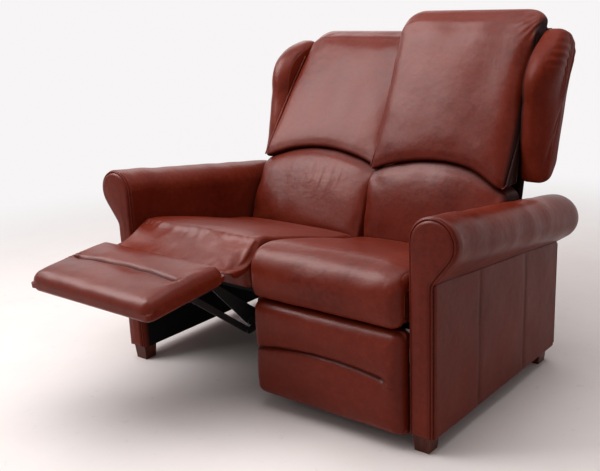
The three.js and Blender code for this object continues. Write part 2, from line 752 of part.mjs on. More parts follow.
function footrestPad() {
  const width = SEAT_WIDTH - 2 * PANEL_SIDE_GAP;
  const middle = seatInner + SEAT_WIDTH / 2;
  const rings = stations(PANEL_STATIONS).map((station) =>
    ringAtX(middle + (width / 2) * station, panelRing(station, width)),
  );
  return cut(loft(rings, "y", "z"), footrestBoard(FIT));
}

// The plywood in the pad's back, or the pocket for it when a clearance is given.
function footrestBoard(clearance) {
  const inset = PANEL_SIDE_GAP + BOARD_INSET - clearance;
  const rear = PANEL_FRONT + PANEL_THICKNESS;
  return block(
    seatInner + inset,
    seatOuter - inset,
    rear - BOARD_THICKNESS - clearance,
    rear + (clearance ? OVERRUN : 0),
    PANEL_BOTTOM + BOARD_INSET - clearance,
    PANEL_TOP - BOARD_INSET + clearance,
  );
}

// Links

// The X range of a layer that starts a distance in from the seat's inner or outer side.
function layerRange(side, from, thickness) {
  return side === "inner"
    ? [seatInner + from, seatInner + from + thickness]
    : [seatOuter - from - thickness, seatOuter - from];
}

// A pin that starts in one layer and ends in a head past the next.
function pin(side, centre, fromLayer) {
  const reach = PLATE_THICKNESS + 2 * LAYER_GAP;
  const from = fromLayer + PLATE_THICKNESS - FIT;
  const shank = layerRange(side, from, FIT + reach);
  const head = layerRange(side, from + FIT + reach - LAYER_GAP / 2, PIN_HEAD_THICKNESS);
  return [
    rodAlongX(PIN_RADIUS, ...shank, centre),
    rodAlongX(PIN_HEAD_RADIUS, ...head, centre),
  ];
}

function pinHole(centre) {
  return circle(centre, PIN_RADIUS + PIN_CLEARANCE, PIN_FACETS);
}

function linkPlate(side, layer, eyes, holes, pins) {
  const outline = bandRound(...eyes.map((eye) => circle(eye.centre, eye.radius)));
  const plate = prismAlongX(outline, ...layerRange(side, layer, PLATE_THICKNESS), holes.map(pinHole));
  return pins.length ? join(plate, ...pins.flatMap((centre) => pin(side, centre, layer))) : plate;
}

function eye(centre, radius = LINK_EYE_RADIUS) {
  return { centre, radius };
}

const driveUpper = drivePivot.clone().add(upperArm);
const driveLower = drivePivot.clone().add(lowerArm);
const followerEnd = followerPivot.clone().add(upperArm);

// The plate that carries one side of a seat, with a flange that is screwed to the arm or the support.
function sidePlate(side) {
  const under = SEAT_FRAME_THICKNESS + FIT;
  const top = (depth) => seatFrameHeight(depth) - under;
  const lug = circle(backPivot, PLATE_LUG_RADIUS);
  const bar = [
    point(PLATE_FRONT_DEPTH, top(PLATE_FRONT_DEPTH)),
    point(PLATE_FRONT_DEPTH, top(PLATE_FRONT_DEPTH) - PLATE_DEEP / 2),
    point(PLATE_FRONT_DEPTH + PLATE_DEEP / 2, top(PLATE_FRONT_DEPTH) - PLATE_DEEP),
    point(SEAT_FRAME_REAR_DEPTH, top(SEAT_FRAME_REAR_DEPTH) - PLATE_DEEP / 2),
    point(SEAT_FRAME_REAR_DEPTH, top(SEAT_FRAME_REAR_DEPTH)),
  ];
  const [x0, x1] = layerRange(side, PLATE_INSET, PLATE_THICKNESS);
  const tail = bandRound(lug, [bar[3], bar[4]]);
  const solids = [prismAlongX(bar, x0, x1), prismAlongX(tail, x0, x1), plateFlange(side, bar[2], bar[3])];
  solids.push(...pin(side, followerPivot, PLATE_INSET), ...pin(side, backPivot, PLATE_INSET));
  const stub = layerRange(side, PLATE_INSET, 2 * PLATE_THICKNESS + LAYER_GAP + TUBE_SOCKET_DEPTH / 2);
  solids.push(rodAlongX(PIN_RADIUS, ...stub, drivePivot));
  return join(...solids);
}

// The flange along the plate's lower edge, out to what carries it.
function plateFlange(side, front, rear) {
  const outline = [
    front,
    rear,
    point(rear.x, rear.y + PLATE_THICKNESS),
    point(front.x, front.y + PLATE_THICKNESS),
  ];
  const plateSide = PLATE_INSET + PLATE_THICKNESS / 2;
  return side === "inner"
    ? prismAlongX(outline, SUPPORT_THICKNESS / 2 + FIT, seatInner + plateSide)
    : prismAlongX(outline, seatOuter - plateSide, armInner - FIT);
}

function crossTube() {
  const top = seatFrameHeight(CROSS_TUBE_DEPTH) - SEAT_FRAME_THICKNESS - 2 * FIT;
  const ends = PLATE_INSET + PLATE_THICKNESS + FIT;
  return block(
    seatInner + ends,
    seatOuter - ends,
    CROSS_TUBE_DEPTH - CROSS_TUBE_SIZE / 2,
    CROSS_TUBE_DEPTH + CROSS_TUBE_SIZE / 2,
    top - CROSS_TUBE_SIZE - SEAT_TILT_SLOPE * CROSS_TUBE_SIZE,
    top - SEAT_TILT_SLOPE * CROSS_TUBE_SIZE,
  );
}

// The two drive links with the torque tube that makes both sides of the footrest move together.
function driveFrame() {
  const pins = [driveUpper, driveLower];
  const eyes = [eye(drivePivot, PIVOT_EYE_RADIUS), ...pins.map((pin) => eye(pin))];
  const links = ["inner", "outer"].map((side) => linkPlate(side, layerA, eyes, [], pins));
  const ends = layerA + PLATE_THICKNESS / 2;
  const tube = rodAlongX(TORQUE_TUBE_RADIUS, seatInner + ends, seatOuter - ends, drivePivot, EYE_FACETS);
  const sockets = ["inner", "outer"].map((side) => {
    const range = layerRange(side, layerA - OVERRUN, PLATE_THICKNESS + OVERRUN + TUBE_SOCKET_DEPTH);
    return rodAlongX(PIN_RADIUS + PIN_CLEARANCE, ...range, drivePivot);
  });
  return cut(join(...links, tube), ...sockets);
}

function follower(side) {
  const eyes = [eye(followerPivot), eye(followerEnd)];
  return linkPlate(side, layerA, eyes, [followerPivot], [followerEnd]);
}

// The upper long link is a three-cornered plate, because drive link and follower both hold it level.
function upperLink(side) {
  const eyes = [eye(driveUpper), eye(followerEnd), eye(upperCarrierPin)];
  return linkPlate(side, layerB, eyes, [driveUpper, followerEnd, upperCarrierPin], []);
}

function lowerLink(side) {
  const eyes = [eye(driveLower), eye(lowerCarrierPin)];
  return linkPlate(side, layerB, eyes, [driveLower, lowerCarrierPin], []);
}

// The steel frame behind the footrest's board, with two pins on each side for the long links.
function footrestCarrier() {
  const boardBack = PANEL_FRONT + PANEL_THICKNESS + FIT;
  const low = LOWER_CARRIER_PIN_HEIGHT - PIVOT_EYE_RADIUS;
  const high = UPPER_CARRIER_PIN_HEIGHT + PIVOT_EYE_RADIUS;
  const front = boardBack + CARRIER_SHEET;
  const back = CARRIER_PIN_DEPTH + LINK_EYE_RADIUS;
  const ear = [point(boardBack, low), point(back, low), point(back, high), point(boardBack, high)];
  const solids = ["inner", "outer"].flatMap((side) => {
    const flange = layerRange(side, layerA - CARRIER_FLANGE_WIDTH, CARRIER_FLANGE_WIDTH + PLATE_THICKNESS);
    return [
      prismAlongX(ear, ...layerRange(side, layerA, PLATE_THICKNESS)),
      block(...flange, boardBack, front, low, high),
      ...pin(side, upperCarrierPin, layerA),
      ...pin(side, lowerCarrierPin, layerA),
    ];
  });
  const middle = (low + high) / 2;
  const ends = layerA + PLATE_THICKNESS / 2;
  const bar = block(
    seatInner + ends,
    seatOuter - ends,
    boardBack,
    front,
    middle - CARRIER_BAR_HEIGHT / 2,
    middle + CARRIER_BAR_HEIGHT / 2,
  );
  return join(...solids, bar);
}

// Back

// The depth of the back frame's front face at a height: two straight lines that meet at the bend.
function spine(height) {
  const lower = Math.min(height, BACK_BEND_HEIGHT) - BACK_FOOT_HEIGHT;
  const upper = Math.max(height - BACK_BEND_HEIGHT, 0);
  return BACK_FOOT_DEPTH + BACK_LOWER_SLOPE * lower + BACK_UPPER_SLOPE * upper;
}

// A bent slab between two distances behind the spine, full width.
function bentSlab(near, far, bottom, top, x0, x1) {
  const heights = [bottom, BACK_BEND_HEIGHT, top];
  const outline = [
    ...heights.map((height) => point(spine(height) + near, height)),
    ...heights.toReversed().map((height) => point(spine(height) + far, height)),
  ];
  return prismAlongX(outline, x0, x1);
}

const wingInner = seatOuter - PAD_END_GAP;
const wingOuter = wingInner + WING_THICKNESS;
const wingFootOuter = wingInner + WING_FOOT_THICKNESS;
const stileInset = layerA + PLATE_THICKNESS + FIT;

// The wooden frame: narrow between the hinge brackets, wide above the arms, with two openings.
function backFrame() {
  const [narrow0, narrow1] = [seatInner + stileInset, seatOuter - stileInset];
  const [wide0, wide1] = [seatInner + BACK_SIDE_GAP, wingInner - FIT];
  const slab = bentSlab(FIT, BACK_FRAME_THICKNESS, BACK_FOOT_HEIGHT, backFrameTop, wide0, wide1);
  const outline = [
    point(narrow0, BACK_FOOT_HEIGHT),
    point(narrow1, BACK_FOOT_HEIGHT),
    point(narrow1, backWideHeight),
    point(wide1, backWideHeight),
    point(wide1, backFrameTop),
    point(wide0, backFrameTop),
    point(wide0, backWideHeight),
    point(narrow0, backWideHeight),
  ];
  const [y0, y1] = [BACK_FOOT_DEPTH - OVERRUN, spine(backFrameTop) + BACK_FRAME_THICKNESS + OVERRUN];
  const [x0, x1] = [narrow0 + BACK_STILE_WIDTH, narrow1 - BACK_STILE_WIDTH];
  const [bottom, top] = [BACK_FOOT_HEIGHT + BACK_RAIL_HEIGHT, backFrameTop - BACK_RAIL_HEIGHT];
  const rail = BACK_RAIL_HEIGHT / 2;
  return cut(
    common(slab, prismAlongY(outline, y0, y1)),
    block(x0, x1, y0, y1, bottom, BACK_BEND_HEIGHT - rail),
    block(x0, x1, y0, y1, BACK_BEND_HEIGHT + rail, top),
  );
}

// The covered outside back: narrow between the arms, out to the wing above them. Its upper corners are
// round, and it steps down behind the wing to a shoulder.
function backShell() {
  const near = BACK_FRAME_THICKNESS + FIT;
  const far = near + SHELL_THICKNESS;
  const inner = seatInner;
  const slab = bentSlab(near, far, shellBottom, shellTop, inner, wingFootOuter);
  const arc = (x, top, radius, quarter) =>
    [0, 1, 2, 3].map((step) => {
      const angle = (quarter + step / 3) * (Math.PI / 2);
      return point(x + radius * Math.cos(angle), top - radius + radius * Math.sin(angle));
    });
  const outline = [
    point(inner, shellBottom),
    point(seatOuter, shellBottom),
    point(seatOuter, backWideHeight),
    point(wingFootOuter, backWideHeight),
    ...arc(wingOuter - SHELL_SHOULDER_ROUND, wingTop - SHELL_SHOULDER_DROP, SHELL_SHOULDER_ROUND, 0),
    point(wingInner, wingTop - SHELL_SHOULDER_DROP),
    ...arc(wingInner - SHELL_CORNER, shellTop, SHELL_CORNER, 0).slice(1),
    ...arc(inner + SHELL_CORNER, shellTop, SHELL_CORNER, 1),
  ];
  return common(slab, prismAlongY(outline, BACK_FOOT_DEPTH - OVERRUN, spine(shellTop) + far + OVERRUN));
}

// The hinge brackets on both stiles, with the bar under the back frame that ties them.
function backHinge() {
  const middle = BACK_FRAME_THICKNESS / 2;
  const strip = (height, side) => point(spine(height) + middle + (side * BRACKET_WIDTH) / 2, height);
  const [low, high] = [BACK_FOOT_HEIGHT, BACK_FOOT_HEIGHT + BRACKET_REACH];
  const foot = bandRound(circle(backPivot, PIVOT_EYE_RADIUS), [strip(low, -1), strip(low, 1)]);
  const blade = [strip(low, -1), strip(low, 1), strip(high, 1), strip(high, -1)];
  const brackets = ["inner", "outer"].flatMap((side) => {
    const range = layerRange(side, layerA, PLATE_THICKNESS);
    return [prismAlongX(foot, ...range, [pinHole(backPivot)]), prismAlongX(blade, ...range)];
  });
  const ends = layerA + PLATE_THICKNESS / 2;
  const top = BACK_FOOT_HEIGHT - HINGE_BAR_DROP;
  const front = spine(top) + FIT;
  const bar = block(
    seatInner + ends,
    seatOuter - ends,
    front,
    front + HINGE_BAR_SIZE,
    top - HINGE_BAR_SIZE,
    top,
  );
  return join(...brackets, bar);
}

// The height of the arch that the upper cushion's lower edge makes across the seat.
function archHeight(x) {
  const share = (x - seatInner - SEAT_WIDTH / 2) / (SEAT_WIDTH / 2);
  return PAD_BOTTOM + PAD_ARCH * (1 - share * share);
}

function padTop(station) {
  const intoCorner = Math.max(Math.abs(station) - (1 - PAD_CORNER_SHARE), 0) / PAD_CORNER_SHARE;
  return PAD_TOP - PAD_CORNER_DROP * (1 - Math.sqrt(1 - intoCorner * intoCorner));
}

// The upper cushion in side view at a station, -1 between the seats and 1 at the wing.
function padRing(x, station, width) {
  const [bottom, top] = [archHeight(x), padTop(station)];
  const pressed = PAD_END_ROUND * drawnIn(station, width, PAD_END_ROUND);
  const swell = PAD_CROWN * (1 - station ** 2) + PAD_WING_SWELL * Math.max(station, 0) ** 2;
  const front = Array.from({ length: PAD_FRONT_POINTS }, (_, i) => {
    const share = i / (PAD_FRONT_POINTS - 1);
    const height = lerp(bottom, top - PAD_THICKNESS_TOP / 3, share);
    const thickness = lerp(PAD_THICKNESS_BOTTOM, PAD_THICKNESS_TOP, share) - pressed;
    const lip = i === 0 ? PAD_END_ROUND / 2 : 0;
    const fullness = Math.sqrt(Math.sin(Math.PI * lerp(...PAD_SWELL_SHARES, share)));
    return point(spine(height) - thickness - swell * fullness + lip, height);
  });
  const crest = PAD_CREST_SHARES.map(([forward, drop]) =>
    point(spine(top) - PAD_THICKNESS_TOP * forward, top - PAD_THICKNESS_TOP * drop),
  );
  const rearTop = top - PAD_THICKNESS_TOP * PAD_REAR_DROP_SHARE;
  const backLine = [rearTop, backFrameTop - pressed, bendOr(bottom, top), bottom].map((height) =>
    point(spine(height) - FIT, height),
  );
  return [...front, ...crest, ...backLine];
}

// The height of the back's bend where it lies between two heights, or else their middle.
function bendOr(low, high) {
  const between = low < BACK_BEND_HEIGHT && BACK_BEND_HEIGHT < high;
  return between ? BACK_BEND_HEIGHT : (low + high) / 2;
}

// A loft of side-view rings across a seat's width, from one X to another.
function softLoft(x0, x1, ringAt) {
  const rings = stations(PAD_STATIONS).map((station) => {
    const x = lerp(x0, x1, (station + 1) / 2);
    return ringAtX(x, ringAt(x, station, x1 - x0));
  });
  return loft(rings, "y", "z");
}

function upperPad() {
  return softLoft(seatInner + PAD_SIDE_GAP, wingInner - PAD_END_GAP / 2, padRing);
}

// The foremost that the lower back cushion comes at a height.
function lumbarFront(height) {
  return spine(height) - LUMBAR_THICKNESS - LUMBAR_CROWN;
}

function lumbarRing(x, station, width) {
  const pressed = LUMBAR_END_ROUND * drawnIn(station, width, LUMBAR_END_ROUND);
  const flatness = LUMBAR_CROWN * station ** 2;
  const top = archHeight(x) - LUMBAR_GAP;
  const toe = LUMBAR_THICKNESS / 6;
  const front = Array.from({ length: LUMBAR_FRONT_POINTS }, (_, i) => {
    const height = lerp(lumbarBottom + toe, top, i / (LUMBAR_FRONT_POINTS - 1));
    return point(lumbarFront(height) + pressed + flatness, height);
  });
  const low = Math.max(lumbarBottom, BACK_FOOT_HEIGHT);
  return [
    ...front,
    ...[top, bendOr(low, top), low].map((height) => point(spine(height) - FIT, height)),
    point(spine(lumbarBottom) - toe, lumbarBottom),
    point(spine(lumbarBottom) - LUMBAR_THICKNESS + toe, lumbarBottom),
  ];
}

function lumbarPad() {
  return softLoft(seatInner + PAD_SIDE_GAP, seatOuter - PAD_SIDE_GAP, lumbarRing);
}

// The wing in side view: its front edge swells out most at head height, and its top is rounded. The
// whole edge lies nearer the frame where the reach is less.
function wingOutline(inset, reachShare) {
  const [bottom, top] = [wingBottom + inset, wingTop - inset];
  const heights = Array.from({ length: WING_EDGE_POINTS }, (_, i) => i / (WING_EDGE_POINTS - 1));
  const front = heights.map((share) => {
    const height = lerp(bottom, top, share);
    const swell = WING_SWELL * Math.sin(Math.PI * share ** WING_SWELL_POWER) ** 2;
    const intoTop = Math.max(share - (1 - WING_TOP_ROUND_SHARE), 0) / WING_TOP_ROUND_SHARE;
    const toe = share === 0 ? WING_ROUND / 2 : 0;
    const reach = (WING_REACH + swell - toe) * reachShare;
    return point(spine(height) - reach * lerp(1, WING_TOP_REACH_SHARE, intoTop ** 2), height);
  });
  const rear = WING_REAR_SHARES.map((share) => {
    const height = lerp(bottom, top, share);
    const corner = share === 1 || share === 0 ? WING_ROUND : 0;
    return point(spine(height) + WING_BACK - corner, height);
  });
  return [...front, ...rear];
}

function wing() {
  const rings = WING_RING_SHARES.map((share) => {
    const inset = WING_ROUND * drawnIn(2 * share - 1, WING_THICKNESS, WING_ROUND);
    const outside = share > WING_CREST_SHARE;
    const fromCrest = (share - WING_CREST_SHARE) / (outside ? 1 - WING_CREST_SHARE : WING_CREST_SHARE);
    const endShare = outside ? WING_OUTER_REACH_SHARE : WING_INNER_REACH_SHARE;
    const reachShare = Math.sqrt(1 - fromCrest ** 2 * (1 - endShare ** 2));
    return wingOutline(inset, reachShare).map((p) => {
      const upShare = (p.y - wingBottom) / (wingTop - wingBottom);
      const thickness = lerp(WING_FOOT_THICKNESS, WING_THICKNESS, upShare);
      return new THREE.Vector3(wingInner + thickness * share, p.x, p.y);
    });
  });
  return loft(rings, "y", "z");
}

// Assembly

// One seat. Its footrest has turned out by one angle, and its back has tipped by another.
function seat(side, footrestOut, recline) {
  const place = side === "left" ? (geometry) => geometry : reflected;
  const piece = (name, geometry, material) => named(`${side}_${name}`, place(geometry), material);
  const bothSides = (name, make, material) =>
    ["inner", "outer"].map((end) => piece(`${end}_${name}`, make(end), material));
  const fixed = [
    piece("seat_frame", seatFrame(), frameWood),
    piece("seat_webbing", seatWebbing(), webbing),
    piece("seat_cushion", seatCushion(), leather),
    piece("apron", apron(footrestOut), leather),
    ...bothSides("side_plate", sidePlate, blackSteel),
    piece("cross_tube", crossTube(), blackSteel),
  ];
  const footrest = [
    piece("footrest_pad", footrestPad(), leather),
    piece("footrest_board", footrestBoard(0), frameWood),
    piece("footrest_carrier", footrestCarrier(), blackSteel),
  ];
  const back = [
    piece("back_frame", backFrame(), frameWood),
    piece("back_shell", backShell(), leather),
    piece("back_hinge", backHinge(), blackSteel),
    piece("upper_pad", upperPad(), leather),
    piece("lumbar_pad", lumbarPad(), leather),
    piece("wing", wing(), leather),
  ];
  const upperShift = turned(upperArm, footrestOut).sub(upperArm);
  const lowerShift = turned(lowerArm, footrestOut).sub(lowerArm);
  const group = new THREE.Group();
  group.add(
    ...fixed,
    swung(footrestCentre, footrestOut, footrest),
    swung(drivePivot, footrestOut, [piece("drive_frame", driveFrame(), blackSteel)]),
    swung(followerPivot, footrestOut, bothSides("follower", follower, zincSteel)),
    shifted(upperShift, bothSides("upper_link", upperLink, zincSteel)),
    shifted(lowerShift, bothSides("lower_link", lowerLink, zincSteel)),
    swung(backPivot, recline, back),
  );
  return group;
}

function base() {
  const group = new THREE.Group();
  const [armGeometry, facingGeometry] = [arm(), armFacing()];
  group.add(
    named("left_arm", armGeometry, leather),
    named("right_arm", reflected(armGeometry), leather),
    named("left_arm_facing", facingGeometry, leather),
    named("right_arm_facing", reflected(facingGeometry), leather),
    named("centre_support", centreSupport(), frameWood),
    named("rear_panel", rearPanel(), flatLeather),
    ...feet(),
  );
  return group;
}

const sofa = new THREE.Group();
sofa.add(
  base(),
  seat("left", LEFT_FOOTREST_DEGREES, LEFT_RECLINE_DEGREES),
  seat("right", RIGHT_FOOTREST_DEGREES, RIGHT_RECLINE_DEGREES),
);
sofa.position.y = -ORIGIN_DEPTH;

export default sofa;
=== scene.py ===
"""The looks of a two-seat reclining sofa in red-brown leather, laid over its fixed frame of CAD nodes.

Lengths are in metres. Shapes are worked out in the drawing's own axes: x across, depth back from the
front of the arms, height up from the floor, for a closed and upright left seat. place() turns, mirrors
and shifts them to where the frame has them.
"""

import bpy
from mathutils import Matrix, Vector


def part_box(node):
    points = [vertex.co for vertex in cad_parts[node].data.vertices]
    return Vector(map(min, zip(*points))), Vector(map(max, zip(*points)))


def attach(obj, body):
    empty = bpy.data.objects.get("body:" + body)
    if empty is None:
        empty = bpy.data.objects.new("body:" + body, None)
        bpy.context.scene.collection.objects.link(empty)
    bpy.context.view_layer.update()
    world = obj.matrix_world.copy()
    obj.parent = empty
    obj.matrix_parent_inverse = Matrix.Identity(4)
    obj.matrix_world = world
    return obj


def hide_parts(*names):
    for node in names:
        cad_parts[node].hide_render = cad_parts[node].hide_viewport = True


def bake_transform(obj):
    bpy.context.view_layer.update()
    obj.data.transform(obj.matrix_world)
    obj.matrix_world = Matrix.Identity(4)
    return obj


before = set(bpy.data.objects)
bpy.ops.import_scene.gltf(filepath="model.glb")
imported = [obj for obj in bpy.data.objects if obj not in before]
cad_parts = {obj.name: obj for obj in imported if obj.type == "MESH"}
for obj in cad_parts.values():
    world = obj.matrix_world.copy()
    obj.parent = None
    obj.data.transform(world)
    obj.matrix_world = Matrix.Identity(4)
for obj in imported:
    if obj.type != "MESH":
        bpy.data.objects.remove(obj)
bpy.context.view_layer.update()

import math

import bpy
import numpy as np
from mathutils import Matrix, Vector

bl_info = {
    "name": "Reclining sofa",
    "version": (1, 0, 0),
    "blender": (4, 5, 0),
    "location": "3D View > Sidebar > Sofa",
    "description": "Covers the frame of a two-seat reclining sofa with leather, and sets the stage for it",
    "category": "Object",
}

# What the frame says
ARM_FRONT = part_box("left_arm_facing")[0].y
SEAT_INNER = 0.006
SEAT_OUTER = 0.518
ARM_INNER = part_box("left_arm")[0].x
ARM_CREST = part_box("left_arm")[1].z + 0.0034
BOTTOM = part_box("left_arm")[0].z
ARM_LENGTH = 0.771
ROLL = 0.0715
FOOTREST_CENTRE = (0.0066, 0.4507)
BACK_PIVOT = (0.600, 0.270)
BACKDROP = (0.93, 0.91, 0.915)
SIDES = {
    "left": {"mirror": 1.0, "swing": 0.0, "tip": 0.0, "arch_drop": 0.030},
    "right": {"mirror": -1.0, "swing": 84.5, "tip": 13.5, "arch_drop": 0.006},
}


# Shapes as arrays


def turned(points, pivot, degrees):
    """Turns points in the side view about a pivot, the way an opening footrest or a tipping back turns."""
    angle = np.radians(degrees)
    depth, height = points[..., 1] - pivot[0], points[..., 2] - pivot[1]
    out = points.copy()
    out[..., 1] = pivot[0] + depth * np.cos(angle) + height * np.sin(angle)
    out[..., 2] = pivot[1] - depth * np.sin(angle) + height * np.cos(angle)
    return out


def place(points, side, swing=False, tip=False):
    """Drawing points to the frame: turned with the footrest or the back, mirrored for the right, shifted."""
    pose = SIDES[side]
    out = np.array(points, float)
    if swing:
        out = turned(out, FOOTREST_CENTRE, pose["swing"])
    if tip:
        out = turned(out, BACK_PIVOT, pose["tip"])
    out[..., 0] *= pose["mirror"]
    out[..., 1] += ARM_FRONT
    return out


def joined(*parts):
    """Coordinates of any matching shapes as points, along a last axis."""
    return np.stack(np.broadcast_arrays(*parts), -1)


def mix(a, b, share):
    """The value a share of the way from a to b."""
    return a + (b - a) * share


def smooth(value, low, high):
    """A share that eases from 0 at low to 1 at high: 3t^2 - 2t^3."""
    t = np.clip((value - low) / (high - low), 0, 1)
    return t * t * (3 - 2 * t)


def hump(value, centre, width):
    """A bell, exp(-((v - centre) / width)^2)."""
    return np.exp(-(((value - centre) / width) ** 2))


def waves(a, b, size, seed, terms=9):
    """A smooth uneven field of about -1 to 1: a sum of sines over (a, b) with seeded directions and phases."""
    pick = np.random.default_rng(seed)
    total = 0
    for _ in range(terms):
        angle, phase = pick.uniform(0, 2 * np.pi, 2)
        rate = 2 * np.pi / (size * pick.uniform(0.7, 1.6))
        total = total + np.sin(rate * (a * np.cos(angle) + b * np.sin(angle)) + phase)
    return total / terms ** 0.5 / 1.4


def stations(count):
    """Places from -1 to 1 across a piece, closer together at its sides: sin of even steps."""
    return np.sin(np.linspace(-np.pi / 2, np.pi / 2, count))


def across(low, high, count):
    """Stations across a piece and the places they stand for between low and high."""
    t = stations(count)
    return t, mix(low, high, (t + 1) / 2)


def drawn_in(distance, radius):
    """How far a round edge has drawn in at a distance from its side: r - sqrt(r^2 - (r - d)^2), over r."""
    into = np.clip(1 - distance / radius, 0, 1)
    return 1 - np.sqrt(np.maximum(1 - into ** 2, 0))


def bell(step, soft):
    """Neighbours' offsets and weights for averaging places that are a step apart under a bell of width soft."""
    reach = int(np.ceil(2.5 * soft / step))
    offsets = np.arange(-reach, reach + 1)
    weights = np.exp(-((offsets * step / soft) ** 2))
    return offsets, weights / weights.sum()


def trace(controls, step, soft):
    """Closed rings through control points (k, n, 2): each side is cut into even steps, and then every
    point is averaged with its neighbours under a bell of width soft, which rounds the corners."""
    following = np.roll(controls, -1, axis=0)
    lengths = np.linalg.norm(following - controls, axis=2).mean(1)
    parts = []
    for start, end, length in zip(controls, following, lengths):
        count = max(int(round(length / step)), 1)
        share = (np.arange(count) / count)[:, None, None]
        parts.append(start[None] + (end - start)[None] * share)
    ring = np.concatenate(parts)
    return sum(w * np.roll(ring, k, axis=0) for k, w in zip(*bell(step, soft)))


def side_normals(ring):
    """Outward normals of side-view rings (m, n, 2): the turned difference of each point's neighbours."""
    along = np.roll(ring, -1, axis=0) - np.roll(ring, 1, axis=0)
    normal = np.stack([along[..., 1], -along[..., 0]], axis=-1)
    normal /= np.maximum(np.linalg.norm(normal, axis=-1, keepdims=True), 1e-12)
    area = (ring[..., 0] * np.roll(ring[..., 1], -1, axis=0) - np.roll(ring[..., 0], -1, axis=0) * ring[..., 1]).sum(0)
    return normal * np.sign(area)[None, :, None]


def outward(grid):
    """Unit normals of a grid of closed rings (n, m, 3), turned to point away from the rings' middle."""
    normal = np.cross(np.gradient(grid, axis=0), np.roll(grid, -1, axis=1) - np.roll(grid, 1, axis=1))
    normal = normal / np.maximum(np.linalg.norm(normal, axis=-1, keepdims=True), 1e-12)
    return normal * np.sign(((grid - grid.mean(1, keepdims=True)) * normal).sum())


def line_normals(line):
    """Unit normals of a side-view line (k, 2), to the right of its direction turned a quarter."""
    along = np.gradient(line, axis=0)
    normal = joined(-along[:, 1], along[:, 0])
    return normal / np.linalg.norm(normal, axis=1, keepdims=True)


def rings_in_space(ring, x):
    """Side-view rings (m, n, 2) at places x (n) as a grid (n, m, 3)."""
    return joined(x[:, None] if x.ndim == 1 else x, ring[..., 0].T, ring[..., 1].T)


def lattice(rows, columns, wrap=False):
    """The corner numbers of a grid's quads, with the last column joined to the first where it wraps."""
    index = np.arange(rows * columns).reshape(rows, columns)
    if wrap:
        index = np.concatenate([index, index[:, :1]], axis=1)
    corners = [index[:-1, :-1], index[1:, :-1], index[1:, 1:], index[:-1, 1:]]
    return np.stack(corners, axis=-1).reshape(-1, 4)


def lengths_along(points, axis):
    """Running length along a line, or along one direction of a grid, from 0."""
    step = np.linalg.norm(np.diff(points, axis=axis), axis=-1)
    start = np.zeros_like(np.take(step, [0], axis=axis))
    return np.concatenate([start, np.cumsum(step, axis=axis)], axis=axis)


def write_piece(name, points, quads, triangles=None, plane=None, fields=None, sharp=None):
    """Makes an object from corner points and faces. plane holds each face corner's place on the leather in
    metres, and fields hold a number for each point. Faces are turned to point outwards by the signed volume."""
    triangles = np.zeros((0, 3), int) if triangles is None else triangles
    a, b, c, d = (points[quads[:, k]] for k in range(4))
    volume = (a * (np.cross(b, c) + np.cross(c, d))).sum()
    e, f, g = (points[triangles[:, k]] for k in range(3))
    volume += (e * np.cross(f, g)).sum()
    order = slice(None) if volume >= 0 else slice(None, None, -1)
    faces = quads[:, order].tolist() + triangles[:, order].tolist()
    mesh = bpy.data.meshes.new(name)
    mesh.from_pydata(points.tolist(), [], faces)
    if plane is not None:
        flat = np.concatenate([p[:, order].reshape(-1, 2) for p in plane if len(p)])
        mesh.uv_layers.new(name="leather").data.foreach_set("uv", flat.astype(np.float32).ravel())
    for key, values in (fields or {}).items():
        mesh.attributes.new(key, "FLOAT", "POINT").data.foreach_set("value", values.astype(np.float32).ravel())
    mesh.polygons.foreach_set("use_smooth", [True] * len(mesh.polygons))
    if sharp:
        mesh.set_sharp_from_angle(angle=math.radians(sharp))
    mesh.update()
    piece = bpy.data.objects.new(name, mesh)
    bpy.context.scene.collection.objects.link(piece)
    return piece


def closed_skin(name, grid, fields, bulge=0.0, sharp=None, caps=(0.82, 0.55, 0.25), core=None):
    """A skin round rings (n, m, 3) with both ends closed: each end ring shrinks in steps towards its own
    middle, standing out by bulge there, and ends in one point. A hollow first ring shrinks to its core, a
    line (m, 3) down its middle, so that the end stays inside the ring."""
    ends = []
    for ring, inner, goal in ((grid[0], grid[1], core), (grid[-1], grid[-2], None)):
        middle = ring.mean(0)
        out = middle - inner.mean(0)
        out /= max(np.linalg.norm(out), 1e-9)
        shares = np.array(caps)[:, None, None]
        goal = middle if goal is None else goal
        ends.append((goal + (ring - goal) * shares + out * bulge * (1 - shares ** 2), middle + out * bulge))
    (first, first_pole), (last, last_pole) = ends
    full = np.concatenate([first[::-1], grid, last])
    rows, columns = full.shape[:2]
    closed = np.concatenate([full, full[:, :1]], axis=1)
    around, along = lengths_along(closed, 1), lengths_along(closed, 0)
    plane = np.stack([along.mean(1, keepdims=True) + 0 * around, around], axis=-1)
    cells = np.stack([plane[:-1, :-1], plane[1:, :-1], plane[1:, 1:], plane[:-1, 1:]], axis=-2).reshape(-1, 4, 2)
    poles = rows * columns + np.arange(2)
    j = np.arange(columns)
    k = (j + 1) % columns
    start = np.stack([j, k, np.full(columns, poles[0])], axis=1)
    stop = np.stack([(rows - 1) * columns + k, (rows - 1) * columns + j, np.full(columns, poles[1])], axis=1)
    triangles = np.concatenate([start, stop])
    start_plane = np.stack([plane[0, :-1], plane[0, 1:], plane[0, :-1]], axis=1)
    stop_plane = np.stack([plane[-1, 1:], plane[-1, :-1], plane[-1, :-1]], axis=1)
    points = np.concatenate([full.reshape(-1, 3), [first_pole, last_pole]])
    spread = {}
    for key, values in fields.items():
        values = np.broadcast_to(values, grid.shape[:2])
        size = len(caps)
        whole = np.concatenate([np.repeat(values[:1], size, 0), values, np.repeat(values[-1:], size, 0)])
        spread[key] = np.concatenate([whole.ravel(), [values[0].mean(), values[-1].mean()]])
    return write_piece(
        name, points, lattice(rows, columns, True), triangles,
        [cells, np.concatenate([start_plane, stop_plane])], spread, sharp,
    )


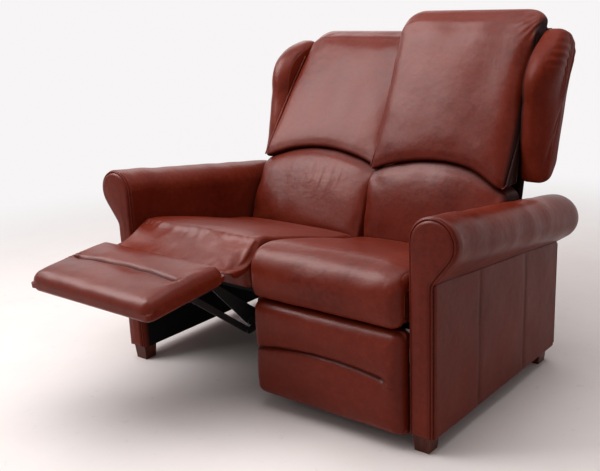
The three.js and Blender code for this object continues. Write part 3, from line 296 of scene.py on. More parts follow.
def closed_sheet(name, outer, inner, fields, sharp=None):
    """A thin body between two grids (n, m, 3) of one size: the outer side, the inner side turned over, and
    a strip along all four edges."""
    rows, columns = outer.shape[:2]
    count = rows * columns
    quads = lattice(rows, columns)
    index = np.arange(count).reshape(rows, columns)
    border = np.concatenate([index[0], index[1:, -1], index[-1, -2::-1], index[-2:0:-1, 0]])
    following = np.roll(border, -1)
    strip = np.stack([following, border, border + count, following + count], axis=1)
    along, around = lengths_along(outer, 0), lengths_along(outer, 1)
    plane = np.stack([along, around], axis=-1)
    flat = plane.reshape(-1, 2)
    cells = flat[quads]
    edge = np.stack([flat[following], flat[border], flat[border], flat[following]], axis=1)
    points = np.concatenate([outer.reshape(-1, 3), inner.reshape(-1, 3)])
    spread = {key: np.tile(np.broadcast_to(v, (rows, columns)).ravel(), 2) for key, v in fields.items()}
    every = np.concatenate([quads, quads[:, ::-1] + count, strip])
    return write_piece(name, points, every, None, [np.concatenate([cells, cells[:, ::-1], edge])], spread, sharp)


def tube(name, path, radius, sides=8):
    """A round cord of leather carried along a path (n, 3): each section is a circle square to the path's
    direction, kept from twisting by one fixed sideways direction."""
    ahead = np.gradient(path, axis=0)
    ahead /= np.linalg.norm(ahead, axis=1, keepdims=True)
    across = np.linalg.svd(path - path.mean(0))[2][2]
    first = np.cross(ahead, across)
    first /= np.maximum(np.linalg.norm(first, axis=1, keepdims=True), 1e-9)
    second = np.cross(ahead, first)
    angle = np.arange(sides) / sides * 2 * np.pi
    grid = path[:, None] + radius * (
        np.cos(angle)[None, :, None] * first[:, None] + np.sin(angle)[None, :, None] * second[:, None]
    )
    return closed_skin(name, grid, {"seam": np.zeros(1)}, bulge=radius / 2, caps=(0.6,))


def stitches(name, path, normal, pitch=0.0075, length=0.0046, radius=0.0006):
    """Sewn stitches along a path (n, 3) whose leather faces one normal: at even steps a short thread, an
    ellipse of six sides swept in five sections from one hole to the next, a little off the leather."""
    run = lengths_along(path, 0)
    count = max(int(run[-1] / pitch), 1)
    places = (np.arange(count) + 0.5) * run[-1] / count
    centre = joined(*(np.interp(places, run, path[:, k]) for k in range(3)))
    ahead = np.gradient(centre, axis=0)
    ahead /= np.linalg.norm(ahead, axis=1, keepdims=True)
    up = np.broadcast_to(normal / np.linalg.norm(normal), centre.shape)
    over = np.cross(ahead, up)
    t = np.linspace(-1, 1, 5)
    angle = np.arange(6) / 6 * 2 * np.pi
    rise = radius * (0.6 - 0.9 * t ** 4)
    thick = radius * np.sqrt(np.maximum(1 - t ** 4 * 0.8, 0))
    grid = (
        centre[:, None, None]
        + ahead[:, None, None] * (t * length / 2)[None, :, None, None]
        + up[:, None, None] * (rise[:, None] + thick[:, None] * np.sin(angle))[None, :, :, None]
        + over[:, None, None] * (thick[:, None] * np.cos(angle))[None, :, :, None]
    )
    one = lattice(5, 6, True)
    ends = np.array([[5, 4, 3, 2], [5, 2, 1, 0], [24, 25, 26, 27], [24, 27, 28, 29]])
    cell = np.concatenate([one, ends])
    quads = (cell[None] + np.arange(count)[:, None, None] * 30).reshape(-1, 4)
    return write_piece(name, grid.reshape(-1, 3), quads, None, None, {"seam": np.zeros(count * 30)})


def coordinates(mesh):
    """The places of a mesh's points (n, 3)."""
    values = np.empty(len(mesh.vertices) * 3, np.float32)
    mesh.vertices.foreach_get("co", values)
    return values.reshape(-1, 3).astype(float)


def settled(piece, pins, pressure=0.0, gravity=0.0, slack=0.0, cap=0.02, frames=20, evening=0):
    """Runs cloth on a piece and keeps its result: pins hold points at 1 and free them at 0, pressure pushes
    along the faces, slack is the share by which the cloth is longer than drawn, and no point goes further
    than about cap. The move is averaged with its neighbours' as often as evening says, and capped as
    cap * tanh(move / cap)."""
    mesh = piece.data
    before = coordinates(mesh)
    count = len(before)
    group = piece.vertex_groups.new(name="pins")
    level = np.round(np.clip(np.broadcast_to(pins, (count,)), 0, 1) * 8).astype(int)
    for step in range(1, 9):
        group.add(np.flatnonzero(level == step).tolist(), step / 8, "REPLACE")
    scene = bpy.context.scene
    cloth = piece.modifiers.new("cloth", "CLOTH")
    settings = cloth.settings
    settings.quality = 6
    settings.mass = 0.25
    settings.vertex_group_mass = "pins"
    settings.effector_weights.gravity = gravity
    settings.tension_stiffness = settings.compression_stiffness = 25
    settings.shear_stiffness = 12
    settings.bending_stiffness = 1.5
    settings.shrink_min = -slack
    if pressure:
        settings.use_pressure = True
        settings.uniform_pressure_force = pressure
    cloth.collision_settings.use_collision = False
    cloth.point_cache.frame_start, cloth.point_cache.frame_end = 1, frames
    for frame_number in range(1, frames + 1):
        scene.frame_set(frame_number)
    move = coordinates(piece.evaluated_get(bpy.context.evaluated_depsgraph_get()).data) - before
    scene.frame_set(1)
    piece.modifiers.remove(cloth)
    piece.vertex_groups.remove(group)
    ends = np.empty(len(mesh.edges) * 2, np.int32)
    mesh.edges.foreach_get("vertices", ends)
    a, b = ends.reshape(-1, 2).T
    near = np.bincount(np.concatenate([a, b]), minlength=count)[:, None]
    for _ in range(evening):
        around = np.stack([np.bincount(a, move[b, k], count) + np.bincount(b, move[a, k], count)
                           for k in range(3)], -1)
        move = (move + around / near) / 2
    far = np.maximum(np.linalg.norm(move, axis=1, keepdims=True), 1e-9)
    moved = before + move / far * cap * np.tanh(far / cap)
    mesh.vertices.foreach_set("co", moved.astype(np.float32).ravel())
    mesh.update()
    return piece


def refined(piece):
    """One level of subdivision, the same in view and render."""
    finer = piece.modifiers.new("finer", "SUBSURF")
    finer.levels = finer.render_levels = 1
    return piece


def draped(grid, pins, **settings):
    """The places that a single sheet takes when cloth is run on it: a grid goes in and comes out."""
    rows, columns = grid.shape[:2]
    sheet = write_piece("cloth_in_the_making", grid.reshape(-1, 3), lattice(rows, columns))
    settled(sheet, pins.ravel(), **settings)
    mesh = sheet.data
    out = coordinates(mesh).reshape(grid.shape)
    bpy.data.objects.remove(sheet)
    bpy.data.meshes.remove(mesh)
    return out


# Shapes of the sofa


def spine(height):
    """Depth of the back frame's front face: two straight lines that meet at the bend."""
    return 0.628 + 0.231 * (np.minimum(height, 0.610) - 0.335) + 0.384 * np.maximum(height - 0.610, 0)


def arch_height(x, side):
    """Height of the arch between the upper and lower back cushions: a parabola over the seat's width, which
    runs down further at its outer end."""
    share = (x - SEAT_INNER) / (SEAT_OUTER - SEAT_INNER) * 2 - 1
    return 0.601 + 0.056 * (1 - share ** 2) - SIDES[side]["arch_drop"] * smooth(share, 0.45, 1.05)


def pad_front(share, station, height):
    """Depth of the upper cushion's front: it thins from 112 to 78 mm upwards and swells in the middle, and
    towards the wing."""
    swell = 0.020 * (1 - station ** 2) + 0.016 * np.maximum(station, 0) ** 2
    return spine(height) - mix(0.112, 0.078, share) - swell * np.sqrt(np.sin(np.pi * mix(0.1, 0.9, share)))


def pad_top(station, side):
    """Top of the upper back cushion: level, with quarter-round corners, the left one's outer corner fuller."""
    into = np.maximum(np.abs(station) - 0.72, 0) / 0.28
    drop = np.where(station > 0, 0.030, 0.060) if side == "left" else 0.060
    return (1.114 if side == "left" else 1.118) - drop * (1 - np.sqrt(1 - np.minimum(into, 1) ** 2))


def press_sides(ring, x, low, high, inner_round, outer_round, keep_behind=None, ease=None):
    """Rounds a cushion's two sides: rings near a side move in along their normals by the round's draw, less
    where ease(height) is under 1."""
    inset = inner_round * drawn_in(x - low, inner_round) + outer_round * drawn_in(high - x, outer_round)
    inset = inset[None] * (np.ones(ring.shape[:2]) if ease is None else ease(ring[..., 1]))
    moved = ring - side_normals(ring) * inset[..., None]
    if keep_behind is not None:
        limit = keep_behind(moved[..., 1])
        moved[..., 0] = np.minimum(moved[..., 0], limit)
    return moved


def upper_cushion(side):
    """Upper back cushion: in side view a front that swells from the arch to the crest, a rounded crest and a
    flat back on the frame; the same at each place across, with its sides rounded."""
    low, high = SEAT_INNER + 0.002, SEAT_OUTER - 0.009
    t, x = across(low, high, 56)
    bottom, top = arch_height(x, side), pad_top(t, side)
    share = np.linspace(0, 1, 14)[:, None]
    height = mix(bottom, top - 0.026, share)
    front = pad_front(share, t, height)
    front[0] += 0.016
    controls = [joined(front[i], height[i]) for i in range(14)]
    controls += [joined(spine(top) - 0.055, top - 0.004), joined(spine(top) - 0.027, top)]
    for h in (top - 0.010, mix(top, bottom, 0.3), np.full_like(top, 0.78), bottom):
        controls.append(joined(spine(h) - 0.001, h))
    ring = trace(np.array(controls), 0.009, 0.011)
    crisp = side == "right"
    ring = press_sides(ring, x, low, high, 0.024, 0.016 if crisp else 0.042, lambda h: spine(h) - 0.001,
                       None if crisp else lambda h: 1 - 0.62 * smooth(h, 0.98, 1.06))
    return rings_in_space(ring, x)


def upper_back(side):
    """The upper cushion with its soft unevenness, and pleats at its outer top corner."""
    grid = upper_cushion(side)
    normal = outward(grid)
    a, b = grid[..., 0], grid[..., 2]
    front = smooth(spine(grid[..., 2]) - grid[..., 1], 0.03, 0.07)
    lift = 0.0016 * waves(a, b, 0.16, 3 if side == "left" else 4) * front
    corner_x, corner_z = (0.524, 1.106) if side == "left" else (0.492, 1.088)
    from_corner = np.hypot(a - corner_x, b - corner_z)
    angle = np.arctan2(b - corner_z, a - corner_x)
    pleats = np.sin(angle * 20 + 0.6) * hump(from_corner, 0.056, 0.030) * (1.0 if side == "left" else 0.25)
    lift = lift + 0.0042 * pleats * front
    grid = grid + normal * lift[..., None]
    wrinkle = 0.25 * hump(b, arch_height(a, side) + 0.03, 0.05) + 0.9 * hump(from_corner, 0.0, 0.08)
    seam = hump(b, arch_height(a, side) + 0.002, 0.007) * front
    hold = 1 - smooth(spine(grid[..., 2]) - grid[..., 1], 0.010, 0.085)
    hold = np.maximum(hold, hump(b, arch_height(a, side) + 0.004, 0.016))
    # Painted shade: the cushion's outer side, in the gap by the wing, is painted near black, fully on the left and
    # faintly on the right.
    painted_shade = 0.85 * smooth(a, SEAT_OUTER - 0.020, SEAT_OUTER - 0.0105) * (1.0 if side == "left" else 0.3)
    fields = {"wrinkle": wrinkle, "seam": seam, "hold": hold, "painted_shade": painted_shade}
    piece = closed_skin(f"{side}_upper_back", place(grid - normal * 0.004 * (1 - hold[..., None]), side, tip=True),
                        fields, 0.004)
    return refined(settled(piece, held_points(piece), 4.0, cap=0.0055, evening=8))


def held_points(piece):
    """The hold attribute of a piece's points."""
    values = np.empty(len(piece.data.vertices), np.float32)
    piece.data.attributes["hold"].data.foreach_get("value", values)
    return values


def lumbar_front(height):
    """The foremost that the lower back cushion comes at a height."""
    return spine(height) - 0.120


def lower_back(side):
    """Lower back cushion: a belly between the seat and the arch, rolled under at the top seam."""
    low, high = SEAT_INNER + 0.002, SEAT_OUTER - 0.002
    t, x = across(low, high, 50)
    bottom, top = 0.332, arch_height(x, side) - 0.001
    share = np.linspace(0, 1, 12)[:, None]
    height = mix(bottom + 0.018, top, share)
    belly = 0.012 * np.sin(np.pi * np.clip(share, 0, 1)) ** 0.8
    front = lumbar_front(height) + 0.009 * t ** 2 + 0.006 - belly + 0.020 * smooth(share, 0.90, 1.0)
    controls = [joined(front[i], height[i]) for i in range(12)]
    for h in (top - 0.004, mix(top, 0.335, 0.5), np.full_like(top, 0.335)):
        controls.append(joined(spine(h) - 0.001, h))
    for reach in (0.0185, 0.0925):
        controls.append(joined(np.full_like(top, spine(bottom) - reach), bottom))
    ring = trace(np.array(controls), 0.009, 0.009)
    ring = press_sides(ring, x, low, high, 0.016, 0.020, lambda h: spine(h) - 0.001)
    grid = rings_in_space(ring, x)
    normal = outward(grid)
    a, b = grid[..., 0], grid[..., 2]
    face = smooth(spine(b) - grid[..., 1], 0.05, 0.10)
    lift = 0.0012 * waves(a, b, 0.12, 8) * face
    if side == "right":
        folds = np.sin(2 * np.pi * (a - 0.16) / 0.026 + 0.8 * np.sin(b * 31)) * hump(a, 0.23, 0.085)
        lift = lift + 0.0030 * folds * hump(b, 0.555, 0.055) * face
    grid = grid + normal * lift[..., None]
    wrinkle = (0.9 if side == "right" else 0.25) * hump(a, 0.25, 0.14) * hump(b, 0.54, 0.08)
    seam = hump(b, arch_height(a, side) - 0.004, 0.007)
    hold = np.maximum(1 - face, hump(b, arch_height(a, side), 0.016))
    grid = grid - normal * 0.004 * (1 - hold[..., None])
    # Painted shade: the cushion's outer end, where it meets the arm, is painted near black.
    painted_shade = 0.85 * smooth(a, SEAT_OUTER - 0.016, SEAT_OUTER - 0.004)
    piece = closed_skin(f"{side}_lower_back", place(grid, side, tip=True),
                        {"wrinkle": wrinkle, "seam": seam, "hold": hold, "painted_shade": painted_shade}, 0.002)
    return refined(settled(piece, held_points(piece), 4.0, cap=0.006, evening=4))


def wing(side):
    """Wing: in side view a front edge that swells out at head height and a rounded top; across its thickness
    the edge lies nearer the frame by the root of 1 - s^2 (1 - e^2) on either side of its crest."""
    inner, thick, foot = 0.512, 0.072, 0.088
    bottom, top = 0.604, 1.059 if side == "left" else 1.077
    shares = (np.sin(np.linspace(-np.pi / 2, np.pi / 2, 30)) + 1) / 2
    crest = 0.4
    outside = shares > crest
    from_crest = np.where(outside, (shares - crest) / (1 - crest), (shares - crest) / crest)
    end = np.where(outside, 0.25, 0.82)
    reach_share = np.sqrt(1 - from_crest ** 2 * (1 - end ** 2))
    inset = 0.022 * drawn_in(np.minimum(shares, 1 - shares) * thick, 0.022)
    dome = 0.024 * drawn_in(shares * thick, 0.024) + 0.036 * drawn_in((1 - shares) * thick, 0.036)
    up = 1 - (1 - np.linspace(0, 1, 22)[:, None]) ** 1.6
    height = mix(bottom + inset, top - dome, up)
    swell = 0.074 * np.sin(np.pi * up ** 2.3) ** 1.5
    into_top = np.clip((up - 0.87) / 0.13, 0, 1)
    toe = np.where(up == 0, 0.009, 0)
    foot_back = 0.052 * (1 - smooth(up, 0.0, 0.42)) ** 1.5
    reach = (0.090 + swell - toe - foot_back) * reach_share * mix(0.52, 1, np.sqrt(1 - into_top ** 2))
    controls = [joined((spine(height) - reach)[i], height[i]) for i in range(22)]
    for s, corner in ((1, 0.056), (0.985, 0.036), (0.95, 0.017), (0.90, 0.004), (0.83, 0), (0.5, 0), (0.10, 0),
                      (0, 0.022)):
        h = mix(bottom + inset, top - dome, s)
        behind = mix(0.014, 0.036, smooth(shares, 0.70, 0.96))
        controls.append(joined(spine(h) + behind - corner, h))
    ring = trace(np.array(controls), 0.008, 0.010)
    thickness = mix(foot, thick, (ring[..., 1] - bottom) / (top - bottom))
    thickness = thickness + 0.008 * hump(ring[..., 1], 0.995, 0.075)
    grid = rings_in_space(ring, inner + (thickness * shares[None]).T)
    flare = smooth(grid[..., 2], 0.78, 1.00) if side == "left" else smooth(grid[..., 2], 0.62, 0.90)
    out_share = smooth(spine(grid[..., 2]) - grid[..., 1], -0.02, 0.12) * flare
    grid[..., 0] += 0.024 * out_share * smooth(shares, 0.0, 0.6)[:, None]
    normal = outward(grid)
    a, b = grid[..., 1] - spine(grid[..., 2]), grid[..., 2]
    outer_side = smooth(shares, 0.5, 0.8)[:, None]
    folds = np.sin(2 * np.pi * (b + 0.25 * a) / 0.024) * hump(b, 0.975, 0.045) * outer_side
    lift = 0.0012 * waves(a, b, 0.10, 12) + (0.0020 * folds if side == "left" else 0)
    grid = grid + normal * lift[..., None]
    wrinkle = 0.9 * hump(b, 0.97, 0.07) * outer_side + 0.3 * hump(b, 0.62, 0.05)
    # Painted shade: the left wing's inner face, in the gap beside the upper cushion, is painted near black.
    painted_shade = 0.8 * (1 - smooth(shares, 0.03, 0.16))[:, None] * (side == "left")
    hold = 1 - smooth(spine(grid[..., 2]) - grid[..., 1], -0.005, 0.030)
    piece = closed_skin(f"{side}_wing_cover", place(grid - normal * 0.003 * (1 - hold[..., None]), side, tip=True),
                        {"wrinkle": wrinkle, "seam": np.zeros(1), "hold": hold, "painted_shade": painted_shade}, 0.003)
    return refined(settled(piece, held_points(piece), 4.0, cap=0.005, evening=4))


def outside_back(side):
    """The covered outside back: a padded slab behind the frame whose outline is narrow between the arms,
    wide above them and round at the top; it thins to its edge over 14 mm."""
    rows, columns = 70, 44
    height = mix(0.302, 1.086, np.linspace(0, 1, rows))
    inner_x = SEAT_INNER + 0.046 * drawn_in(1.086 - height, 0.046)
    shoulder, wide = 1.040, 0.640
    corner = 0.498 - 0.060 * drawn_in(1.086 - height, 0.060)
    wing_x = 0.580 - 0.082 * drawn_in(shoulder - height, 0.040)
    outer_x = np.where(height > shoulder, corner, np.where(height > wide, np.maximum(wing_x, corner), 0.508))
    c = (stations(columns) + 1) / 2
    x = inner_x[:, None] + (outer_x - inner_x)[:, None] * c[None]
    edge = np.minimum(x - inner_x[:, None], outer_x[:, None] - x)
    edge = np.minimum(edge, np.minimum(height - 0.302, 1.086 - height)[:, None])
    rise = 1 - drawn_in(edge, 0.012)
    half = 0.0085
    middle = spine(height)[:, None] + 0.0206 + half
    puff = 0.003 * np.sin(np.pi * c)[None] * np.sin(np.pi * np.linspace(0, 1, rows))[:, None]
    back = joined(x, middle + half * rise + puff, height[:, None])
    closed = np.where(c[None] < 0.5, smooth(height, 0.90, 1.05)[:, None], smooth(height, 1.036, 1.052)[:, None])
    rim = (1 - smooth(edge, 0.004, 0.012)) * closed
    front = joined(x, middle - half * rise - 0.020 * rim, height[:, None])
    seam = np.maximum(hump(x, 0.262, 0.0035), hump(edge, 0.016, 0.003))
    wrinkle = np.full_like(x, 0.15)
    # Painted shade: the outer edge low down, next to the arm and the cushions, is painted near black.
    painted_shade = 0.85 * smooth(x, 0.450, 0.480) * (1 - smooth(height, 0.600, 0.640))[:, None]
    return closed_sheet(
        f"{side}_outside_back", place(back, side, tip=True), place(front, side, tip=True),
        {"wrinkle": wrinkle, "seam": seam, "painted_shade": painted_shade})


NOSE = np.array([
    (0.0580, 0.5030), (0.0400, 0.5010), (0.0210, 0.4968), (0.0040, 0.4895), (-0.0099, 0.4785), (-0.0200, 0.4640),
    (-0.0259, 0.4480), (-0.0280, 0.4156), (-0.0267, 0.3798), (-0.0200, 0.3555), (-0.0080, 0.3465), (0.0040, 0.3440),
])
SEAT_TOP = np.array([
    (0.5160, 0.4030), (0.4900, 0.4075), (0.4400, 0.4170), (0.3700, 0.4340), (0.2880, 0.4570), (0.2200, 0.4740),
    (0.1730, 0.4850), (0.1200, 0.4960), (0.0900, 0.5010),
])
OPEN_NOSE = np.array([
    (0.0580, 0.5030), (0.0400, 0.4990), (0.0210, 0.4935), (0.0020, 0.4860), (-0.0170, 0.4780), (-0.0360, 0.4700),
    (-0.0540, 0.4632), (-0.0700, 0.4580), (-0.0840, 0.4535), (-0.0950, 0.4490), (-0.1020, 0.4440), (-0.1055, 0.4380),
    (-0.1050, 0.4320),
])


def even_line(points, count, soft=0.008):
    """An open line through points (k, 2), cut into even steps by length and averaged with its neighbours."""
    run = lengths_along(points, 0)
    at = np.linspace(0, run[-1], count)
    line = joined(*(np.interp(at, run, points[:, k]) for k in range(2)))
    offsets, weights = bell(run[-1] / (count - 1), soft)
    reach = offsets[-1]
    padded = np.concatenate([2 * line[:1] - line[reach:0:-1], line, 2 * line[-1:] - line[-2:-reach - 2:-1]])
    return sum(w * padded[reach + k: reach + k + count] for k, w in zip(offsets, weights))


def seat_cover(side):
    """The seat's leather from its rear over the crown and the nose to the footrest: a side-view line carried
    across the seat, lowered towards the sides as s^4 and rolled down over them. On the open seat it runs on
    to the footrest, slack, with soft folds."""
    is_open = side == "right"
    line = even_line(np.concatenate([SEAT_TOP, OPEN_NOSE if is_open else NOSE]), 96)
    low, high = SEAT_INNER + 0.002, SEAT_OUTER - 0.002
    t, x = across(low, high, 64)
    normal = -line_normals(line)
    run = lengths_along(line, 0)
    crown_at = run[np.argmin(np.abs(line[:, 0] - NOSE[0, 0]) + (line[:, 1] < 0.49))]
    past = run - crown_at
    grid = joined(x[:, None], line[:, 0], line[:, 1])
    roundness = mix(0.016, 0.024, smooth(past, -0.10, 0.03))[None]
    outer_round = roundness * (1.0 if is_open else 1.5)
    inset = roundness * drawn_in((x - low)[:, None], roundness)
    inset = inset + outer_round * drawn_in((high - x)[:, None], outer_round)
    drop = 0.010 * (t ** 4)[:, None] * smooth(-past, -0.06, 0.05)[None]
    lift = -inset - drop * 0.8
    a, b = grid[..., 0], np.broadcast_to(run[None], grid.shape[:2])
    from_inner, from_outer = (x - low)[:, None], (high - x)[:, None]
    if is_open:
        flap = smooth(past, -0.05, 0.02)[None] * (1 - smooth(past, 0.160, 0.182))[None]
        slack = 0.0022 * waves(a, b * 1.3, 0.13, 21)
        droop = 0.020 * (1 - smooth(from_inner, 0, 0.07)) ** 1.5 * hump(past, 0.11, 0.05)[None]
        ridge = 0.006 * (1 - smooth(from_inner, 0, 0.06)) * hump(past, -0.02, 0.035)[None]
        fan_x, fan_run = a - low - 0.02, (past - 0.165)[None]
        corner = np.hypot(fan_x, fan_run)
        fan = np.sin(9 * np.arctan2(fan_run, fan_x)) * hump(corner, 0.045, 0.035)
        lift = lift + slack * flap - droop + ridge + 0.0022 * fan * flap
        wrinkle = 0.12 + 0.75 * flap * np.clip(hump(corner, 0.0, 0.10) + 0.35, 0, 1)
        free = smooth(past, 0.0, 0.03) * (1 - smooth(past, past[-1] - 0.020, past[-1] - 0.006))
        hold = 1 - np.broadcast_to(free[None], a.shape)
    else:
        tuck = 0.012 * (1 - smooth(from_outer, 0.0, 0.10)) ** 2 * hump(past, 0.03, 0.06)[None]
        lift = lift + 0.0005 * waves(a, b, 0.15, 23) - tuck
        wrinkle = 0.22 + 0.5 * hump(a, 0.505, 0.045) * hump(past[None], 0.05, 0.08)
        ends = smooth(past - past[0], 0.0, 0.03) * (1 - smooth(past, past[-1] - 0.03, past[-1]))
        hold = 1 - smooth(from_inner, 0.0, 0.03) * smooth(from_outer, 0.0, 0.03) * ends[None]
    grid[..., 1] += normal[None, :, 0] * lift
    grid[..., 2] += normal[None, :, 1] * lift
    if is_open:
        grid = draped(grid, hold, gravity=1.0, slack=0.045, cap=0.013, frames=24)
    else:
        grid = draped(grid, hold, pressure=3.0, slack=0.003, cap=0.004, evening=14)
    thickness = 0.0035
    under = grid.copy()
    under[..., 1] -= normal[None, :, 0] * thickness
    under[..., 2] -= normal[None, :, 1] * thickness
    seam = hump(past, past[-1] - 0.004, 0.006)[None]
    piece = closed_sheet(f"{side}_seat_cover", place(grid, side), place(under, side),
                         {"wrinkle": wrinkle, "seam": seam})
    return piece, (SEAT_OUTER - SEAT_INNER, float(run[-1]))


def seat_core(side):
    """The seat cushion under its cover: a crowned body with a full nose, flat below, its sides drawn in."""
    low, high = SEAT_INNER + 0.003, SEAT_OUTER - 0.003
    t, x = across(low, high, 40)
    top = SEAT_TOP.copy()
    top[:, 1] -= 0.0075 if side == "left" else mix(0.024, 0.0075, smooth(top[:, 0], 0.09, 0.30))
    nose = NOSE[:-2].copy()
    nose = nose + line_normals(nose) * (0.0075 if side == "left" else 0.024)
    line = np.concatenate([top, nose, [(0.079, 0.3420)], [(0.488, 0.2990)]])
    ring = trace(np.repeat(line[:, None], len(x), 1), 0.010, 0.006)
    ring = press_sides(ring, x, low, high, 0.024, 0.024)
    height = ring[..., 1]
    ring[..., 1] = height - 0.010 * (t ** 4)[None] * smooth(height, 0.36, 0.45)
    return closed_skin(f"{side}_seat_cushion_body", place(rings_in_space(ring, x), side),
                       {"wrinkle": np.full(1, 0.2), "seam": np.zeros(1)}, 0.001)


def seam_height(x):
    """Height of the footrest's sewn seam, an arch over its width."""
    share = (x - SEAT_INNER) / (SEAT_OUTER - SEAT_INNER) * 2 - 1
    return 0.188 + 0.026 * (1 - share ** 2)


def footrest_cover(side):
    """Footrest pad: a slab whose front edges and corners are rounded by 29 mm, r - sqrt(r^2 - s^2), and whose
    front swells above and below the arched seam. The groove dies out before the sides, in small gathers."""
    low, high, bottom, top, rear = 0.0055, 0.5185, 0.040, 0.338, 0.037
    radius, rear_round = 0.029, 0.012
    rows, columns = 93, 84
    t = stations(columns)
    v = np.linspace(0, 2, rows)[:, None]
    eased = (1 - np.cos(np.pi * (v % 1))) / 2
    seam_z = seam_height(mix(low, high, (t + 1) / 2))[None]
    height = np.where(v < 1, mix(bottom, seam_z, eased), mix(seam_z, top, eased))
    height[-1] = top
    from_end = np.minimum(height - bottom, top - height)
    corner = 0.011 * drawn_in(from_end, 0.011)
    x = mix(low + corner, high - corner, (t[None] + 1) / 2)
    into_x = np.clip(1 - np.minimum(x - low - corner, high - corner - x) / radius, 0, 1)
    into_z = np.clip(1 - from_end / radius, 0, 1)
    into = np.minimum(np.hypot(into_x, into_z), 1)
    seam_start, seam_end = (0.0, 0.484) if side == "left" else (0.036, 0.506)
    along_seam = smooth(x, seam_start, seam_start + 0.028) if side == "right" else np.ones_like(x)
    along_seam = along_seam * (1 - smooth(x, seam_end - 0.030, seam_end))
    lower = np.clip((height - bottom) / (seam_z - bottom), 0, 1)
    upper = np.clip((height - seam_z) / (top - seam_z), 0, 1)
    puff = 0.0085 * np.sin(np.pi * lower) ** 0.8 + 0.0080 * np.sin(np.pi * upper) ** 0.75
    plain = 0.0085 * np.sin(np.pi * (height - bottom) / (top - bottom)) ** 0.5
    swell = mix(plain * 0.9, puff, along_seam) * (1 - into ** 2)
    groove = 0.0085 * hump(height, seam_z, 0.0058) * along_seam
    gather_at = hump(x, seam_end, 0.020) + hump(x, seam_start + 0.005, 0.016)
    gathers = np.sin(2 * np.pi * (height - seam_z) / 0.014 + 1.2) * gather_at * hump(height, seam_z, 0.030)
    soft = 0.0009 * waves(x, height, 0.09, 31 if side == "left" else 32)
    front = -0.0185 + radius * (1 - np.sqrt(1 - into ** 2)) - swell + groove
    front = front - (0.0012 * gathers + soft) * (1 - into ** 2)
    outer, inner = joined(x, front, height), joined(x, rear - rear_round * into ** 6, height)
    seam = hump(height, seam_z, 0.0050) * along_seam
    wrinkle = 0.2 + 0.7 * np.clip(gather_at, 0, 1) * hump(height, seam_z, 0.05)
    hold = np.maximum(seam, into ** 2)
    piece = closed_sheet(f"{side}_footrest_cover", place(outer, side, swing=True), place(inner, side, swing=True),
                         {"wrinkle": wrinkle, "seam": seam, "hold": hold}, 60)
    pins = held_points(piece)
    pins[rows * columns:] = 1
    return settled(piece, pins, 4.0, cap=0.004)


def roll_centre(depth):
    """Height of the arm roll's centre line, which falls towards the back."""
    return ARM_CREST - ROLL - 0.104 * depth / ARM_LENGTH


def crease_drop(depth):
    """How far the crease under the roll lies below the roll's centre."""
    return mix(0.108, 0.084, depth / ARM_LENGTH)


def roll_arc(centre, crease, radius, count):
    """The roll's section from where a line from the crease touches it, over the top, to its inner side."""
    dx, dz = crease[0] - centre[0], crease[1] - centre[1]
    start = math.atan2(dz, dx) + math.acos(min(radius / math.hypot(dx, dz), 1.0))
    angle = np.linspace(start, math.pi, count)
    return joined(centre[0] + radius * np.cos(angle), centre[1] + radius * np.sin(angle))


def arm_section(depth, inset, radius):
    """The keyhole section of an arm at a depth: an arc from the outer crease over the roll to the inner
    side, then down the inner side, across the bottom and up the outer side to the crease."""
    centre = np.array([ARM_INNER + ROLL, roll_centre(depth)])
    crease = np.array([ARM_INNER + ROLL + 0.002 - inset, centre[1] - crease_drop(depth)])
    arc = roll_arc(centre, crease, radius, 40)
    foot = BOTTOM + inset / 2
    flank = mix(crease, arc[:1], np.linspace(0, 1, 9)[:-1, None])
    down = mix(arc[-1], np.array([ARM_INNER + inset, foot]), np.linspace(0, 1, 26)[1:, None])
    across = mix(down[-1], np.array([crease[0], foot]), np.linspace(0, 1, 8)[1:, None])
    rise = mix(across[-1], crease, np.linspace(0, 1, 22)[1:-1, None])
    return np.concatenate([flank, arc, down, across, rise])


